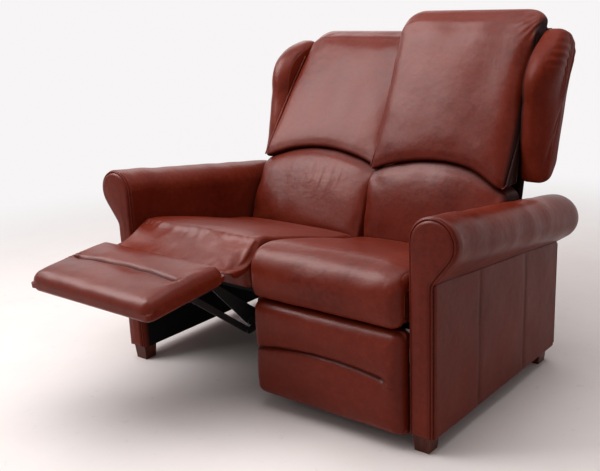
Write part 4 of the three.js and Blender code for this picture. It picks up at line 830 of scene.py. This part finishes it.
def arm_cover(side):
    """The arm's leather: keyhole sections along its depth with rounded front and rear edges, and past the
    column's rear the roll alone, closed by half an ellipse."""
    front, rear, tip_at, tip_length = 0.0143, ARM_LENGTH, 0.750, 0.085
    edge = 0.0065
    rounding = edge * (1 - np.sin(np.linspace(0, np.pi / 2, 6)))
    sections = []
    for depth in front + rounding[::-1]:
        inset = edge * drawn_in(depth - front, edge)
        sections.append((depth, arm_section(depth, inset, ROLL - inset)))
    middle = [(depth, 0.0) for depth in np.linspace(front + edge, rear - edge, 60)[1:]]
    last = rear - edge * (1 - np.sin(np.linspace(0, np.pi / 2, 5)[1:]))
    for depth, inset in middle + [(depth, 0.6 * edge * drawn_in(rear - depth, edge)) for depth in last]:
        past = max(depth - tip_at, 0) / tip_length
        sections.append((depth, arm_section(depth, inset, ROLL * math.sqrt(1 - past ** 2))))
    count, over = len(sections[0][1]), 48
    tip_start = math.asin((rear - tip_at) / tip_length)
    full = arm_section(rear, 0.0, ROLL * math.cos(tip_start))
    centre = np.array([ARM_INNER + ROLL, roll_centre(rear)])
    bearing = np.arctan2(full[:over, 1] - centre[1], full[:over, 0] - centre[0])
    turn = np.concatenate([bearing, np.linspace(-math.pi, bearing[0], count - over + 2)[1:-1]])
    for angle in np.linspace(tip_start, np.pi / 2, 12):
        depth = tip_at + tip_length * math.sin(angle)
        radius = max(ROLL * math.cos(angle), 0.0004)
        sections.append((depth, joined(centre[0] + radius * np.cos(turn), roll_centre(depth) + radius * np.sin(turn))))
    grid = np.array([joined(ring[:, 0], depth, ring[:, 1]) for depth, ring in sections])
    normal = outward(grid)
    a, b = grid[..., 1], grid[..., 2]
    on_roll = smooth(b - (roll_centre(a) - 0.09), 0, 0.05)
    lift = 0.0012 * waves(a, b, 0.14, 41) * on_roll * smooth(a, 0.02, 0.06) * (1 - smooth(a, 0.74, 0.77))
    grid = grid + normal * lift[..., None]
    from_inner = grid[..., 0] - ARM_INNER
    # The crease under the roll is darkened through the seam attribute. This is partly the seam where the side panel
    # meets the roll and partly painted shade under the roll.
    crease = 0.7 * hump(grid[..., 2], roll_centre(a) - crease_drop(a), 0.007)
    crease = crease * smooth(from_inner, 0.05, 0.065) * smooth(a, 0.02, 0.05)
    wrinkle = 0.2 + 0.5 * hump(a, 0.03, 0.03) * on_roll
    # Painted shade: the arm's inner side below the seat, behind its front edge, is painted near black.
    painted_shade = smooth(0.315 - b, 0, 0.01) * smooth(a, 0.020, 0.026) * (1 - smooth(from_inner, 0, 0.02))
    core = grid[0].copy()
    core[:, 2] = np.clip(core[:, 2], BOTTOM + 0.02, roll_centre(front))
    core[:, 0] = ARM_INNER + mix(0.036, ROLL, smooth(core[:, 2], 0.47, 0.58))
    return closed_skin(f"{side}_arm_cover", place(grid, side), {"wrinkle": wrinkle, "seam": crease, "painted_shade": painted_shade},
                       0.0, 50, (0.7, 0.3, 0.02), place(core, side))


def arm_side(side):
    """The flat covered panel on the arm's outer side: its upper edge follows the crease under the roll, and
    its face sinks a little at two upright seams."""
    rows, columns = 60, 90
    v = np.linspace(0, 1, rows)[:, None]
    u = (stations(columns) + 1)[None] / 2
    front, rear = 0.0165, ARM_LENGTH - 0.002
    depth = mix(front, rear, u)
    top = roll_centre(depth) - crease_drop(depth) + 0.004
    top = top - 0.008 * drawn_in(depth - front, 0.008)
    height = mix(BOTTOM + 0.001, top, (1 - np.cos(np.pi * v)) / 2)
    edge = np.minimum(np.minimum(depth - front, rear - depth), np.minimum(height - BOTTOM, top - height))
    rise = 1 - drawn_in(edge, 0.006)
    base = ARM_INNER + 0.0732
    seams = hump(depth, 0.256, 0.0022) + hump(depth, 0.542, 0.0022)
    soft = 0.0010 * waves(depth, height, 0.20, 51)
    x = base + 0.0010 + 0.0046 * rise - 0.0016 * seams * rise + soft * rise
    outer, inner = joined(x, depth, height), joined(base - 0.004, depth, height)
    return closed_sheet(f"{side}_arm_side", place(outer, side), place(inner, side),
                        {"wrinkle": np.full(1, 0.1), "seam": np.clip(seams, 0, 1) * 0.6})


def facing_outline(inset, count=240):
    """The keyhole of the arm's front, inset, from the bottom of its outer side round to the inner side's."""
    centre = (ARM_INNER + ROLL, roll_centre(0.0))
    crease = (ARM_INNER + 0.076 - inset, centre[1] - crease_drop(0.0))
    arc = roll_arc(centre, crease, ROLL - inset, 49)
    line = np.concatenate([[(crease[0], BOTTOM)], [crease], arc, [(ARM_INNER + inset, BOTTOM)]])
    return even_line(line, count, 0.013)


def distance_to(points, line):
    """Least distance from points (..., 2) to the segments of a line (k, 2)."""
    start, end = line[:-1], line[1:]
    step = end - start
    rel = points[..., None, :] - start
    t = np.clip((rel * step).sum(-1) / np.maximum((step ** 2).sum(-1), 1e-12), 0, 1)
    return np.linalg.norm(rel - t[..., None] * step, axis=-1).min(-1)


def arm_front(side):
    """The padded keyhole on the arm's front: rows across the outline, domed by the distance to its edge."""
    outline = facing_outline(0.0095)
    top_at = np.argmax(outline[:, 1])
    right, left = outline[:top_at + 1], outline[top_at:][::-1]
    rows, columns = 120, 26
    low, high = BOTTOM + 0.0005, outline[top_at, 1] - 0.0002
    height = low + (high - low) * np.sin(np.linspace(0, np.pi / 2, rows))
    x_right = np.interp(height, right[:, 1], right[:, 0])
    x_left = np.interp(height, left[:, 1], left[:, 0])
    c = (stations(columns) + 1) / 2
    x = x_left[:, None] + (x_right - x_left)[:, None] * c
    edge = distance_to(joined(x, height[:, None]), np.concatenate([outline, outline[:1]]))
    dome = 0.0105 * (1 - drawn_in(edge, 0.010)) + 0.0022 * smooth(edge, 0.008, 0.04)
    front, back = joined(x, 0.0135 - dome, height[:, None]), joined(x, 0.0138, height[:, None])
    return closed_sheet(f"{side}_arm_front", place(front, side), place(back, side),
                        {"wrinkle": np.full(1, 0.15), "seam": np.zeros(1)})


def arm_piping(side):
    """The covered cord round the facing, a round section carried along the keyhole."""
    outline = facing_outline(0.0070, 200)
    path = joined(outline[:, 0], 0.0118, outline[:, 1])
    return tube(f"{side}_arm_piping", place(path, side), 0.0026)


def arm_rear_piping(side):
    """The covered cord down the rear edge of the arm's side panel."""
    z = np.linspace(BOTTOM + 0.012, roll_centre(ARM_LENGTH) - 0.088, 50)
    path = joined(ARM_INNER + 0.0765, ARM_LENGTH - 0.0015, z)
    return tube(f"{side}_arm_rear_piping", place(path, side), 0.0024)


def back_piping(side):
    """The cord sewn along the upper cushion's outer edge, from the arch to the crest."""
    share = np.linspace(0.03, 0.93, 60)
    high = SEAT_OUTER - 0.009
    height = mix(arch_height(high, side), pad_top(1.0, side) - 0.026, share)
    path = joined(high - 0.003, pad_front(share, 1.0, height) + 0.008, height)
    return tube(f"{side}_back_piping", place(path, side, tip=True), 0.0022)


def side_stitches(side):
    """Top stitching beside the two upright seams of the arm's side panel, one run of thread each."""
    pieces = []
    for number, seam_at in enumerate((0.256, 0.542), 1):
        z = np.linspace(BOTTOM + 0.016, roll_centre(seam_at) - 0.112, 80)
        path = joined(ARM_INNER + 0.0789, seam_at + 0.0055, z)
        normal = np.array([SIDES[side]["mirror"], 0.0, 0.0])
        pieces.append(stitches(f"{side}_arm_stitches_{number}", place(path, side), normal, radius=0.00045))
    return pieces


def footrest_stitches(side):
    """The thread in the footrest's arched seam."""
    start, end = (0.012, 0.470) if side == "left" else (0.050, 0.495)
    x = np.linspace(start, end, 90)
    path = joined(x, -0.0128, seam_height(x) + 0.0045)
    normal = place(np.array([[0.0, -1.0, 0.0], [0.0, 0.0, 0.0]]), side, swing=True)
    return stitches(f"{side}_footrest_stitches", place(path, side, swing=True), normal[0] - normal[1])


def rear_cover():
    """The covered panel low down at the back: a slab with soft edges and two upright seams."""
    low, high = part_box("rear_panel")
    rows, columns = 30, 90
    v = np.linspace(-1, 1, rows)[:, None]
    u = stations(columns)[None]
    x = mix(low.x, high.x, (u + 1) / 2)
    z = mix(low.z, high.z, (np.sin(v * np.pi / 2) + 1) / 2)
    edge = np.minimum(np.minimum(x - low.x, high.x - x), np.minimum(z - low.z, high.z - z))
    rise = 1 - drawn_in(edge, 0.008)
    seams = hump(np.abs(x), 0.18, 0.0035)
    middle, half = (low.y + high.y) / 2, (high.y - low.y) / 2
    back, front = joined(x, middle + (half - 0.0015 * seams) * rise, z), joined(x, middle - half * rise, z)
    return closed_sheet("rear_panel_cover", back, front, {"wrinkle": np.full(1, 0.1), "seam": seams})


# Materials


class Value:
    """A number in a material. Arithmetic on it adds Math nodes."""

    def __init__(self, graph, socket):
        self.graph, self.socket = graph, socket

    def _math(self, operation, *terms):
        return self.graph.node("ShaderNodeMath", {"operation": operation}, terms)

    def __add__(self, other):
        return self._math("ADD", self, other)

    def __radd__(self, other):
        return self._math("ADD", other, self)

    def __sub__(self, other):
        return self._math("SUBTRACT", self, other)

    def __rsub__(self, other):
        return self._math("SUBTRACT", other, self)

    def __mul__(self, other):
        return self._math("MULTIPLY", self, other)

    def __rmul__(self, other):
        return self._math("MULTIPLY", other, self)

    def __pow__(self, other):
        return self._math("POWER", self, other)

    def sine(self):
        return self._math("SINE", self)

    def eased(self, low, high):
        """0 below low and 1 above high, with a smooth step between."""
        return self.graph.node(
            "ShaderNodeMapRange", {"interpolation_type": "SMOOTHSTEP", "clamp": True},
            {"Value": self, "From Min": low, "From Max": high, "To Min": 0.0, "To Max": 1.0})


class Graph:
    """The node tree of one material, filled through one method."""

    def __init__(self, name):
        self.material = bpy.data.materials.new(name)
        self.material.use_nodes = True
        self.tree = self.material.node_tree
        self.tree.nodes.clear()

    def node(self, kind, settings=None, values=(), out=0):
        """Adds a node: its settings first, then its values or links by place or by name."""
        node = self.tree.nodes.new(kind)
        for key, value in (settings or {}).items():
            setattr(node, key, value)
        pairs = values.items() if isinstance(values, dict) else enumerate(values)
        for key, value in pairs:
            self.feed(node.inputs[key], value)
        return Value(self, node.outputs[out]) if len(node.outputs) else None

    def feed(self, socket, value):
        """Links a value to a socket or sets it; a colour of three numbers gets its fourth."""
        if isinstance(value, Value):
            self.tree.links.new(value.socket, socket)
        elif hasattr(socket.default_value, "__len__") and len(socket.default_value) == 4 and len(value) == 3:
            socket.default_value = (*value, 1.0)
        else:
            socket.default_value = value

    def tint(self, share, a, b):
        """Two colours mixed by a share."""
        return self.node("ShaderNodeMix", {"data_type": "RGBA"}, {0: share, 6: a, 7: b}, out=2)

    def attribute(self, name):
        return self.node("ShaderNodeAttribute", {"attribute_name": name}, out=2)

    def object_place(self):
        return self.node("ShaderNodeTexCoord", out=3)

    def uv_place(self, name):
        return self.node("ShaderNodeUVMap", {"uv_map": name})

    def stretched(self, vector, scale):
        return self.node("ShaderNodeMapping", {"vector_type": "POINT"}, {"Vector": vector, "Scale": scale})

    def noise(self, vector, scale, detail=2.0, roughness=0.5):
        return self.node("ShaderNodeTexNoise", {"noise_dimensions": "3D"},
                         {"Vector": vector, "Scale": scale, "Detail": detail, "Roughness": roughness})

    def cells(self, vector, scale):
        return self.node("ShaderNodeTexVoronoi", {"feature": "F1"}, {"Vector": vector, "Scale": scale})

    def across_and_back(self, vector):
        """The x and the y of a place."""
        x = self.node("ShaderNodeSeparateXYZ", None, (vector,))
        return x, Value(self, x.socket.node.outputs[1])

    def raised(self, height, distance, strength=1.0, normal=None):
        values = {"Height": height, "Distance": distance, "Strength": strength}
        if normal is not None:
            values["Normal"] = normal
        return self.node("ShaderNodeBump", None, values)

    def finish(self, sockets):
        """Ends the material in a Principled shader with these sockets."""
        shader = self.node("ShaderNodeBsdfPrincipled", None, sockets)
        self.node("ShaderNodeOutputMaterial", None, {"Surface": shader})
        return self.material


def leather_material(name, dark, middle, light, roughness, gloss):
    """Smooth upholstery leather: fine pebble grain, pores, cloudy colour, darker seams, where the arm's crease under
    the roll is partly painted shade, and creases where the piece's wrinkle attribute asks for them. Where the piece's
    mask of painted shade asks, the colour is painted near black and the leather is dulled."""
    g = Graph(name)
    spot = g.object_place()
    flat = g.uv_place("leather")
    seam, wrinkle, painted_shade = g.attribute("seam"), g.attribute("wrinkle"), g.attribute("painted_shade")
    cloud = g.noise(spot, 4.0, 3.0, 0.5)
    mottle = g.noise(spot, 60.0, 3.0, 0.6)
    speck = g.noise(spot, 420.0, 2.0, 0.6)
    tone = cloud * 0.45 + mottle * 0.35 + speck * 0.20
    colour = g.tint(tone.eased(0.36, 0.50), dark, middle)
    colour = g.tint(tone.eased(0.50, 0.66), colour, light)
    # Darker seams. On the arm the crease under the roll comes through here too: partly seam, partly painted shade.
    colour = g.tint(seam * 0.8, colour, tuple(c * 0.25 for c in dark))
    # Painted shade: near black where the piece's mask of painted shade asks, on hidden sides and in gaps.
    colour = g.tint(painted_shade, colour, (0.006, 0.0055, 0.0055))
    folds = g.noise(g.stretched(flat, (34.0, 9.0, 1.0)), 1.0, 3.0, 0.5)
    cross = g.noise(g.stretched(flat, (14.0, 30.0, 1.0)), 1.0, 3.0, 0.5)
    soft = g.noise(spot, 11.0, 2.0, 0.5)
    fine = g.noise(spot, 95.0, 3.0, 0.55)
    pebble = g.cells(spot, 520.0)
    pores = g.cells(spot, 1300.0)
    bump = g.raised(soft, 0.0030)
    bump = g.raised((folds + cross * 0.7) * wrinkle, 0.0034, 1.0, bump)
    bump = g.raised(fine, 0.00040, 1.0, bump)
    bump = g.raised(1.0 - pebble * 0.8 - pores * 0.25, 0.00020, 0.8, bump)
    # The painted shade is also dulled, so that it shows no sheen.
    rough = roughness + 0.08 * (mottle - 0.5) + 0.08 * (cloud - 0.5) + seam * 0.15 + painted_shade * 0.6
    return g.finish({
        "Base Color": colour, "Roughness": rough, "Normal": bump, "Specular IOR Level": gloss,
        "Coat Weight": 0.03, "Coat Roughness": 0.25,
    })


def wood_material(name, dark, light, roughness, along, coat=0.0):
    """Wood: growth rings stretched along one direction, with pores and a little sheen."""
    g = Graph(name)
    spot = g.object_place()
    stretch = tuple(6.0 if k == along else 60.0 for k in range(3))
    bands = g.noise(g.stretched(spot, stretch), 1.0, 5.0, 0.62)
    fine = g.noise(g.stretched(spot, tuple(s * 9 for s in stretch)), 1.0, 3.0, 0.6)
    tone = bands.eased(0.3, 0.7) * 0.75 + fine * 0.25
    colour = g.tint(tone, dark, light)
    bump = g.raised(fine, 0.0003, 0.6)
    return g.finish({"Base Color": colour, "Roughness": roughness + 0.15 * (fine - 0.5), "Normal": bump,
                     "Specular IOR Level": 0.2, "Coat Weight": coat, "Coat Roughness": 0.2})


def steel_material(name, colour, roughness, metallic):
    """Painted or bare steel with faint scratches and handling marks."""
    g = Graph(name)
    spot = g.object_place()
    marks = g.noise(spot, 40.0, 5.0, 0.65)
    scratch = g.noise(g.stretched(spot, (900.0, 60.0, 60.0)), 1.0, 2.0, 0.5)
    tone = g.tint(marks.eased(0.35, 0.8) * 0.5, colour, tuple(min(c * 1.9 + 0.01, 1) for c in colour))
    return g.finish({"Base Color": tone, "Roughness": roughness + 0.16 * (marks - 0.5), "Metallic": metallic,
                     "Normal": g.raised(scratch, 0.0001, 0.5)})


def webbing_material(name, dark, light):
    """Elastic webbing: a plain weave of 2 mm threads, over and under by the sign of two sines."""
    g = Graph(name)
    spot = g.object_place()
    x, y = g.across_and_back(spot)
    weave = (x * 1900.0).sine() * (y * 1900.0).sine()
    fuzz = g.noise(spot, 600.0, 2.0, 0.5)
    colour = g.tint((weave * 0.5 + 0.5) * 0.7 + fuzz * 0.3, dark, light)
    return g.finish({"Base Color": colour, "Roughness": 0.85, "Specular IOR Level": 0.1,
                     "Normal": g.raised(weave, 0.0005, 0.7)})


def thread_material(name, colour):
    """Sewing thread, a little fuzzy."""
    g = Graph(name)
    spot = g.object_place()
    fuzz = g.noise(spot, 1500.0, 2.0, 0.5)
    tone = g.tint(fuzz, tuple(c * 0.7 for c in colour), colour)
    return g.finish({"Base Color": tone, "Roughness": 0.6, "Normal": g.raised(fuzz, 0.0002, 0.6)})


# Settings


def colour_setting(name, description, default):
    """A colour in a group of settings."""
    return bpy.props.FloatVectorProperty(
        name=name, description=description, subtype="COLOR", size=3, min=0, max=1, default=default)


class SofaLeather(bpy.types.PropertyGroup):
    """Settings of the leather."""

    dark: colour_setting("Dark tone", "Colour of the leather's darkest clouds", (0.088, 0.0088, 0.0036))
    middle: colour_setting("Middle tone", "Main colour of the leather", (0.124, 0.0135, 0.0054))
    light: colour_setting("Light tone", "Colour of the leather's lightest clouds", (0.158, 0.0203, 0.0083))
    roughness: bpy.props.FloatProperty(
        name="Roughness", description="How dull the leather is", subtype="FACTOR", min=0.05, max=1, default=0.34)
    gloss: bpy.props.FloatProperty(
        name="Specular level", description="How strongly the leather shines", subtype="FACTOR",
        min=0, max=1, default=0.11)


class SofaStage(bpy.types.PropertyGroup):
    """Settings of the floor, the camera and the lights."""

    floor_size: bpy.props.FloatProperty(
        name="Floor size", description="Width of the square floor", unit="LENGTH", subtype="DISTANCE",
        min=2, default=40.0)
    lens: bpy.props.FloatProperty(
        name="Lens", description="Focal length of the camera in millimetres", subtype="DISTANCE_CAMERA",
        min=10, default=53.02)
    sky: bpy.props.FloatProperty(
        name="Sky", description="Strength of the even light from all round", min=0, default=0.28)
    key: bpy.props.FloatProperty(
        name="Overhead light", description="Power of the large light above", subtype="POWER", min=0, default=100.0)


# Operators


def paint(piece, material):
    """Gives a piece one material."""
    piece.data.materials.clear()
    piece.data.materials.append(material)
    return piece


def material_named(name):
    material = bpy.data.materials.get(name)
    if material is None:
        raise RuntimeError(f"the material {name} hasn't been made yet")
    return material


class SOFA_OT_materials(bpy.types.Operator):
    """Makes the sofa's materials and gives the frame's own nodes theirs"""

    bl_idname = "sofa.materials"
    bl_label = "Make materials"

    def execute(self, context):
        s = context.scene.sofa_leather
        dark, middle, light = tuple(s.dark), tuple(s.middle), tuple(s.light)
        leather_material("leather_red_brown", dark, middle, light, s.roughness, s.gloss)
        dull = [tuple(c * m for c, m in zip(tone, (0.92, 1.0, 1.1))) for tone in (dark, middle, light)]
        leather_material("leather_outside", *dull, s.roughness + 0.06, s.gloss * 0.9)
        leather_material("leather_wing", dark, middle, light, s.roughness + 0.10, s.gloss * 0.35)
        thread_material("thread_red_brown", tuple(c * 1.15 for c in middle))
        feet = wood_material("wood_foot", (0.040, 0.0065, 0.0030), (0.120, 0.022, 0.0085), 0.36, 2, 0.08)
        board = wood_material("wood_frame", (0.060, 0.034, 0.018), (0.125, 0.075, 0.040), 0.7, 0)
        webbing = webbing_material("webbing_black", (0.012, 0.012, 0.013), (0.05, 0.05, 0.052))
        steel = steel_material("steel_black", (0.006, 0.006, 0.0065), 0.45, 0.1)
        cloth = webbing_material("cloth_black", (0.006, 0.006, 0.0065), (0.016, 0.016, 0.017))
        finishes = (
            (feet, ("foot_",)), (cloth, ("back_frame", "seat_frame")), (board, ("footrest_board", "centre_support")),
            (webbing, ("webbing",)), (steel, ("plate", "tube", "carrier", "drive", "follower", "link", "hinge")),
        )
        for name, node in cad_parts.items():
            for material, words in finishes:
                if any(word in name for word in words):
                    paint_node(node, material)
                    break
        return {"FINISHED"}


def paint_node(node, material):
    """Gives all slots of one of the frame's nodes a material."""
    for slot in node.material_slots:
        slot.material = material
    if not node.material_slots:
        raise RuntimeError(f"{node.name} has no material slot")


def dress(piece, body, nodes, material="leather_red_brown"):
    """Gives a finished piece its material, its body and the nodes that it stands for."""
    paint(piece, material_named(material))
    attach(piece, body)
    if nodes:
        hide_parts(*nodes)
    return piece


class SOFA_OT_arms(bpy.types.Operator):
    """Makes the covers, side panels, facings and piping of both arms"""

    bl_idname = "sofa.arms"
    bl_label = "Make arms"

    def execute(self, context):
        for side in SIDES:
            dress(arm_cover(side), "base", [f"{side}_arm"])
            dress(arm_side(side), "base", [], "leather_outside")
            dress(arm_front(side), "base", [f"{side}_arm_facing"])
            dress(arm_piping(side), "base", [])
            dress(arm_rear_piping(side), "base", [])
            for thread in side_stitches(side):
                dress(thread, "base", [], "thread_red_brown")
        return {"FINISHED"}


class SOFA_OT_seats(bpy.types.Operator):
    """Makes the two seat cushions and the leather that runs over them to the footrests"""

    bl_idname = "sofa.seats"
    bl_label = "Make seats"

    def execute(self, context):
        for side in SIDES:
            dress(seat_core(side), "base", [f"{side}_seat_cushion"])
            piece, flat = seat_cover(side)
            paint(piece, material_named("leather_red_brown"))
            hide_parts(f"{side}_apron")
            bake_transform(piece)
        return {"FINISHED"}


class SOFA_OT_footrests(bpy.types.Operator):
    """Makes the padded covers of both footrests"""

    bl_idname = "sofa.footrests"
    bl_label = "Make footrests"

    def execute(self, context):
        for side in SIDES:
            body = f"{side}_footrest"
            dress(footrest_cover(side), body, [f"{side}_footrest_pad"])
            dress(footrest_stitches(side), body, [], "thread_red_brown")
        return {"FINISHED"}


class SOFA_OT_backs(bpy.types.Operator):
    """Makes the upper and lower back cushions, the wings and the outside backs"""

    bl_idname = "sofa.backs"
    bl_label = "Make backs"

    def execute(self, context):
        for side in SIDES:
            body = f"{side}_back"
            dress(upper_back(side), body, [f"{side}_upper_pad"])
            dress(lower_back(side), body, [f"{side}_lumbar_pad"])
            dress(wing(side), body, [f"{side}_wing"],
                  "leather_wing" if side == "left" else "leather_red_brown")
            dress(outside_back(side), body, [f"{side}_back_shell"], "leather_outside")
        dress(back_piping("right"), "right_back", [])
        dress(rear_cover(), "base", ["rear_panel"], "leather_outside")
        return {"FINISHED"}


class SOFA_OT_stage(bpy.types.Operator):
    """Sets the floor, the lights and the camera"""

    bl_idname = "sofa.stage"
    bl_label = "Set the stage"

    def execute(self, context):
        s = context.scene.sofa_stage
        scene = context.scene
        scene.view_settings.view_transform = "Standard"
        make_floor(s.floor_size)
        make_sky(s.sky)
        make_lamp("overhead", (-0.15, -0.1, 3.3), (0.0, -0.3, 0.0), (3.6, 2.4), s.key * 0.88)
        make_lamp("window", (-2.2, -1.9, 2.9), (0.0, 0.2, 0.7), (1.7, 2.4), s.key * 0.74)
        make_lamp("front_sheen", (-2.15, -0.85, 3.1), (-0.1, 0.3, 0.85), (2.0, 2.3), s.key * 1.7, sheen_only=True)
        make_lamp("rear_sheen", (-2.6, 2.0, 2.3), (-0.2, -0.3, 0.5), (3.0, 1.5), s.key * 0.24, sheen_only=True)
        make_camera(s.lens)
        return {"FINISHED"}


def make_floor(size):
    """A level square, which the camera and reflections see paler far away."""
    half = size / 2
    points = np.array([(-half, -half, 0), (half, -half, 0), (half, half, 0), (-half, half, 0)], float)
    mesh = bpy.data.meshes.new("floor")
    mesh.from_pydata(points.tolist(), [], [(0, 1, 2, 3)])
    floor = bpy.data.objects.new("floor", mesh)
    bpy.context.scene.collection.objects.link(floor)
    g = Graph("floor_pale")
    spot = g.object_place()
    x, y = g.across_and_back(spot)
    scuff = g.noise(spot, 3.0, 6.0, 0.6)
    stain = g.noise(spot, 22.0, 4.0, 0.6)
    grey = g.tint(scuff.eased(0.35, 0.75) * 0.30, (0.89, 0.815, 0.795), (0.79, 0.70, 0.675))
    grey = g.tint(stain.eased(0.62, 0.72) * 0.15, grey, (0.5, 0.46, 0.45))
    lit = g.node("ShaderNodeBsdfDiffuse", None, {"Color": grey})
    glow = g.node("ShaderNodeEmission", None, {"Color": BACKDROP, "Strength": 1.0})
    away = (x * x + y * y) ** 0.5
    camera = g.node("ShaderNodeLightPath")
    rays = camera.socket.node.outputs
    seen_by = camera + Value(g, rays["Is Glossy Ray"]) + Value(g, rays["Is Transmission Ray"])
    both = g.node("ShaderNodeMixShader", None, (away.eased(1.3, 3.2) * seen_by, lit, glow))
    g.node("ShaderNodeOutputMaterial", None, {"Surface": both})
    floor.data.materials.append(g.material)


def make_sky(strength):
    """An even world light, which the camera and reflections see as near white."""
    world = bpy.data.worlds.new("sky")
    bpy.context.scene.world = world
    world.use_nodes = True
    tree = world.node_tree
    tree.nodes.clear()
    path = tree.nodes.new("ShaderNodeLightPath")
    seen_by = path.outputs["Is Camera Ray"]
    for ray in ("Is Glossy Ray", "Is Transmission Ray"):
        total = tree.nodes.new("ShaderNodeMath")
        tree.links.new(seen_by, total.inputs[0])
        tree.links.new(path.outputs[ray], total.inputs[1])
        seen_by = total.outputs[0]
    even = tree.nodes.new("ShaderNodeBackground")
    even.inputs["Color"].default_value = (1.0, 0.985, 0.975, 1)
    even.inputs["Strength"].default_value = strength
    seen = tree.nodes.new("ShaderNodeBackground")
    seen.inputs["Color"].default_value = (*BACKDROP, 1)
    both = tree.nodes.new("ShaderNodeMixShader")
    out = tree.nodes.new("ShaderNodeOutputWorld")
    tree.links.new(seen_by, both.inputs[0])
    tree.links.new(even.outputs[0], both.inputs[1])
    tree.links.new(seen.outputs[0], both.inputs[2])
    tree.links.new(both.outputs[0], out.inputs[0])


def make_lamp(name, place_, aim, size, power, sheen_only=False):
    """A rectangular lamp at a place, turned to an aim; sheen_only keeps it out of the diffuse light."""
    light = bpy.data.lights.new(name, "AREA")
    light.shape = "RECTANGLE"
    light.size, light.size_y = size
    light.energy = power
    lamp = bpy.data.objects.new(name, light)
    lamp.location = place_
    lamp.rotation_euler = (Vector(aim) - Vector(place_)).to_track_quat("-Z", "Y").to_euler()
    lamp.visible_diffuse = not sheen_only
    bpy.context.scene.collection.objects.link(lamp)


def make_camera(lens):
    """The camera that was fitted to the photograph: its place, and its turn by yaw, pitch and roll."""
    yaw, pitch, roll = (math.radians(v) for v in (39.3621, 16.0131, -2.5014))
    forward = Vector((-math.sin(yaw) * math.cos(pitch), math.cos(yaw) * math.cos(pitch), -math.sin(pitch)))
    right = Vector((math.cos(yaw), math.sin(yaw), 0))
    up = right.cross(forward)
    across = right * math.cos(roll) + up * math.sin(roll)
    above = up * math.cos(roll) - right * math.sin(roll)
    data = bpy.data.cameras.new("camera")
    data.lens, data.sensor_width, data.sensor_fit = lens, 36.0, "HORIZONTAL"
    camera = bpy.data.objects.new("camera", data)
    bpy.context.scene.collection.objects.link(camera)
    turn = Matrix((across, above, -forward)).transposed().to_4x4()
    camera.matrix_world = Matrix.Translation((1.6642, -1.8021 + ARM_FRONT, 1.2231)) @ turn
    bpy.context.scene.camera = camera


class SOFA_PT_panel(bpy.types.Panel):
    bl_idname = "SOFA_PT_panel"
    bl_label = "Reclining sofa"
    bl_space_type = "VIEW_3D"
    bl_region_type = "UI"
    bl_category = "Sofa"

    def draw(self, context):
        for group in (context.scene.sofa_leather, context.scene.sofa_stage):
            for key in group.bl_rna.properties.keys():
                if key not in ("rna_type", "name"):
                    self.layout.prop(group, key)
        for operator in STEPS:
            self.layout.operator(operator.bl_idname)


GROUPS = (SofaLeather, SofaStage)
STEPS = (
    SOFA_OT_materials, SOFA_OT_arms, SOFA_OT_seats, SOFA_OT_footrests, SOFA_OT_backs, SOFA_OT_stage,
)


def register():
    for item in (*GROUPS, *STEPS, SOFA_PT_panel):
        bpy.utils.register_class(item)
    bpy.types.Scene.sofa_leather = bpy.props.PointerProperty(type=SofaLeather)
    bpy.types.Scene.sofa_stage = bpy.props.PointerProperty(type=SofaStage)


def unregister():
    del bpy.types.Scene.sofa_leather
    del bpy.types.Scene.sofa_stage
    for item in reversed((*GROUPS, *STEPS, SOFA_PT_panel)):
        bpy.utils.unregister_class(item)


def main():
    register()
    for operator in STEPS:
        name = operator.bl_idname.split(".")[1]
        if getattr(bpy.ops.sofa, name)() != {"FINISHED"}:
            raise RuntimeError(f"{operator.bl_label} didn't finish")


if __name__ == "__main__":
    main()
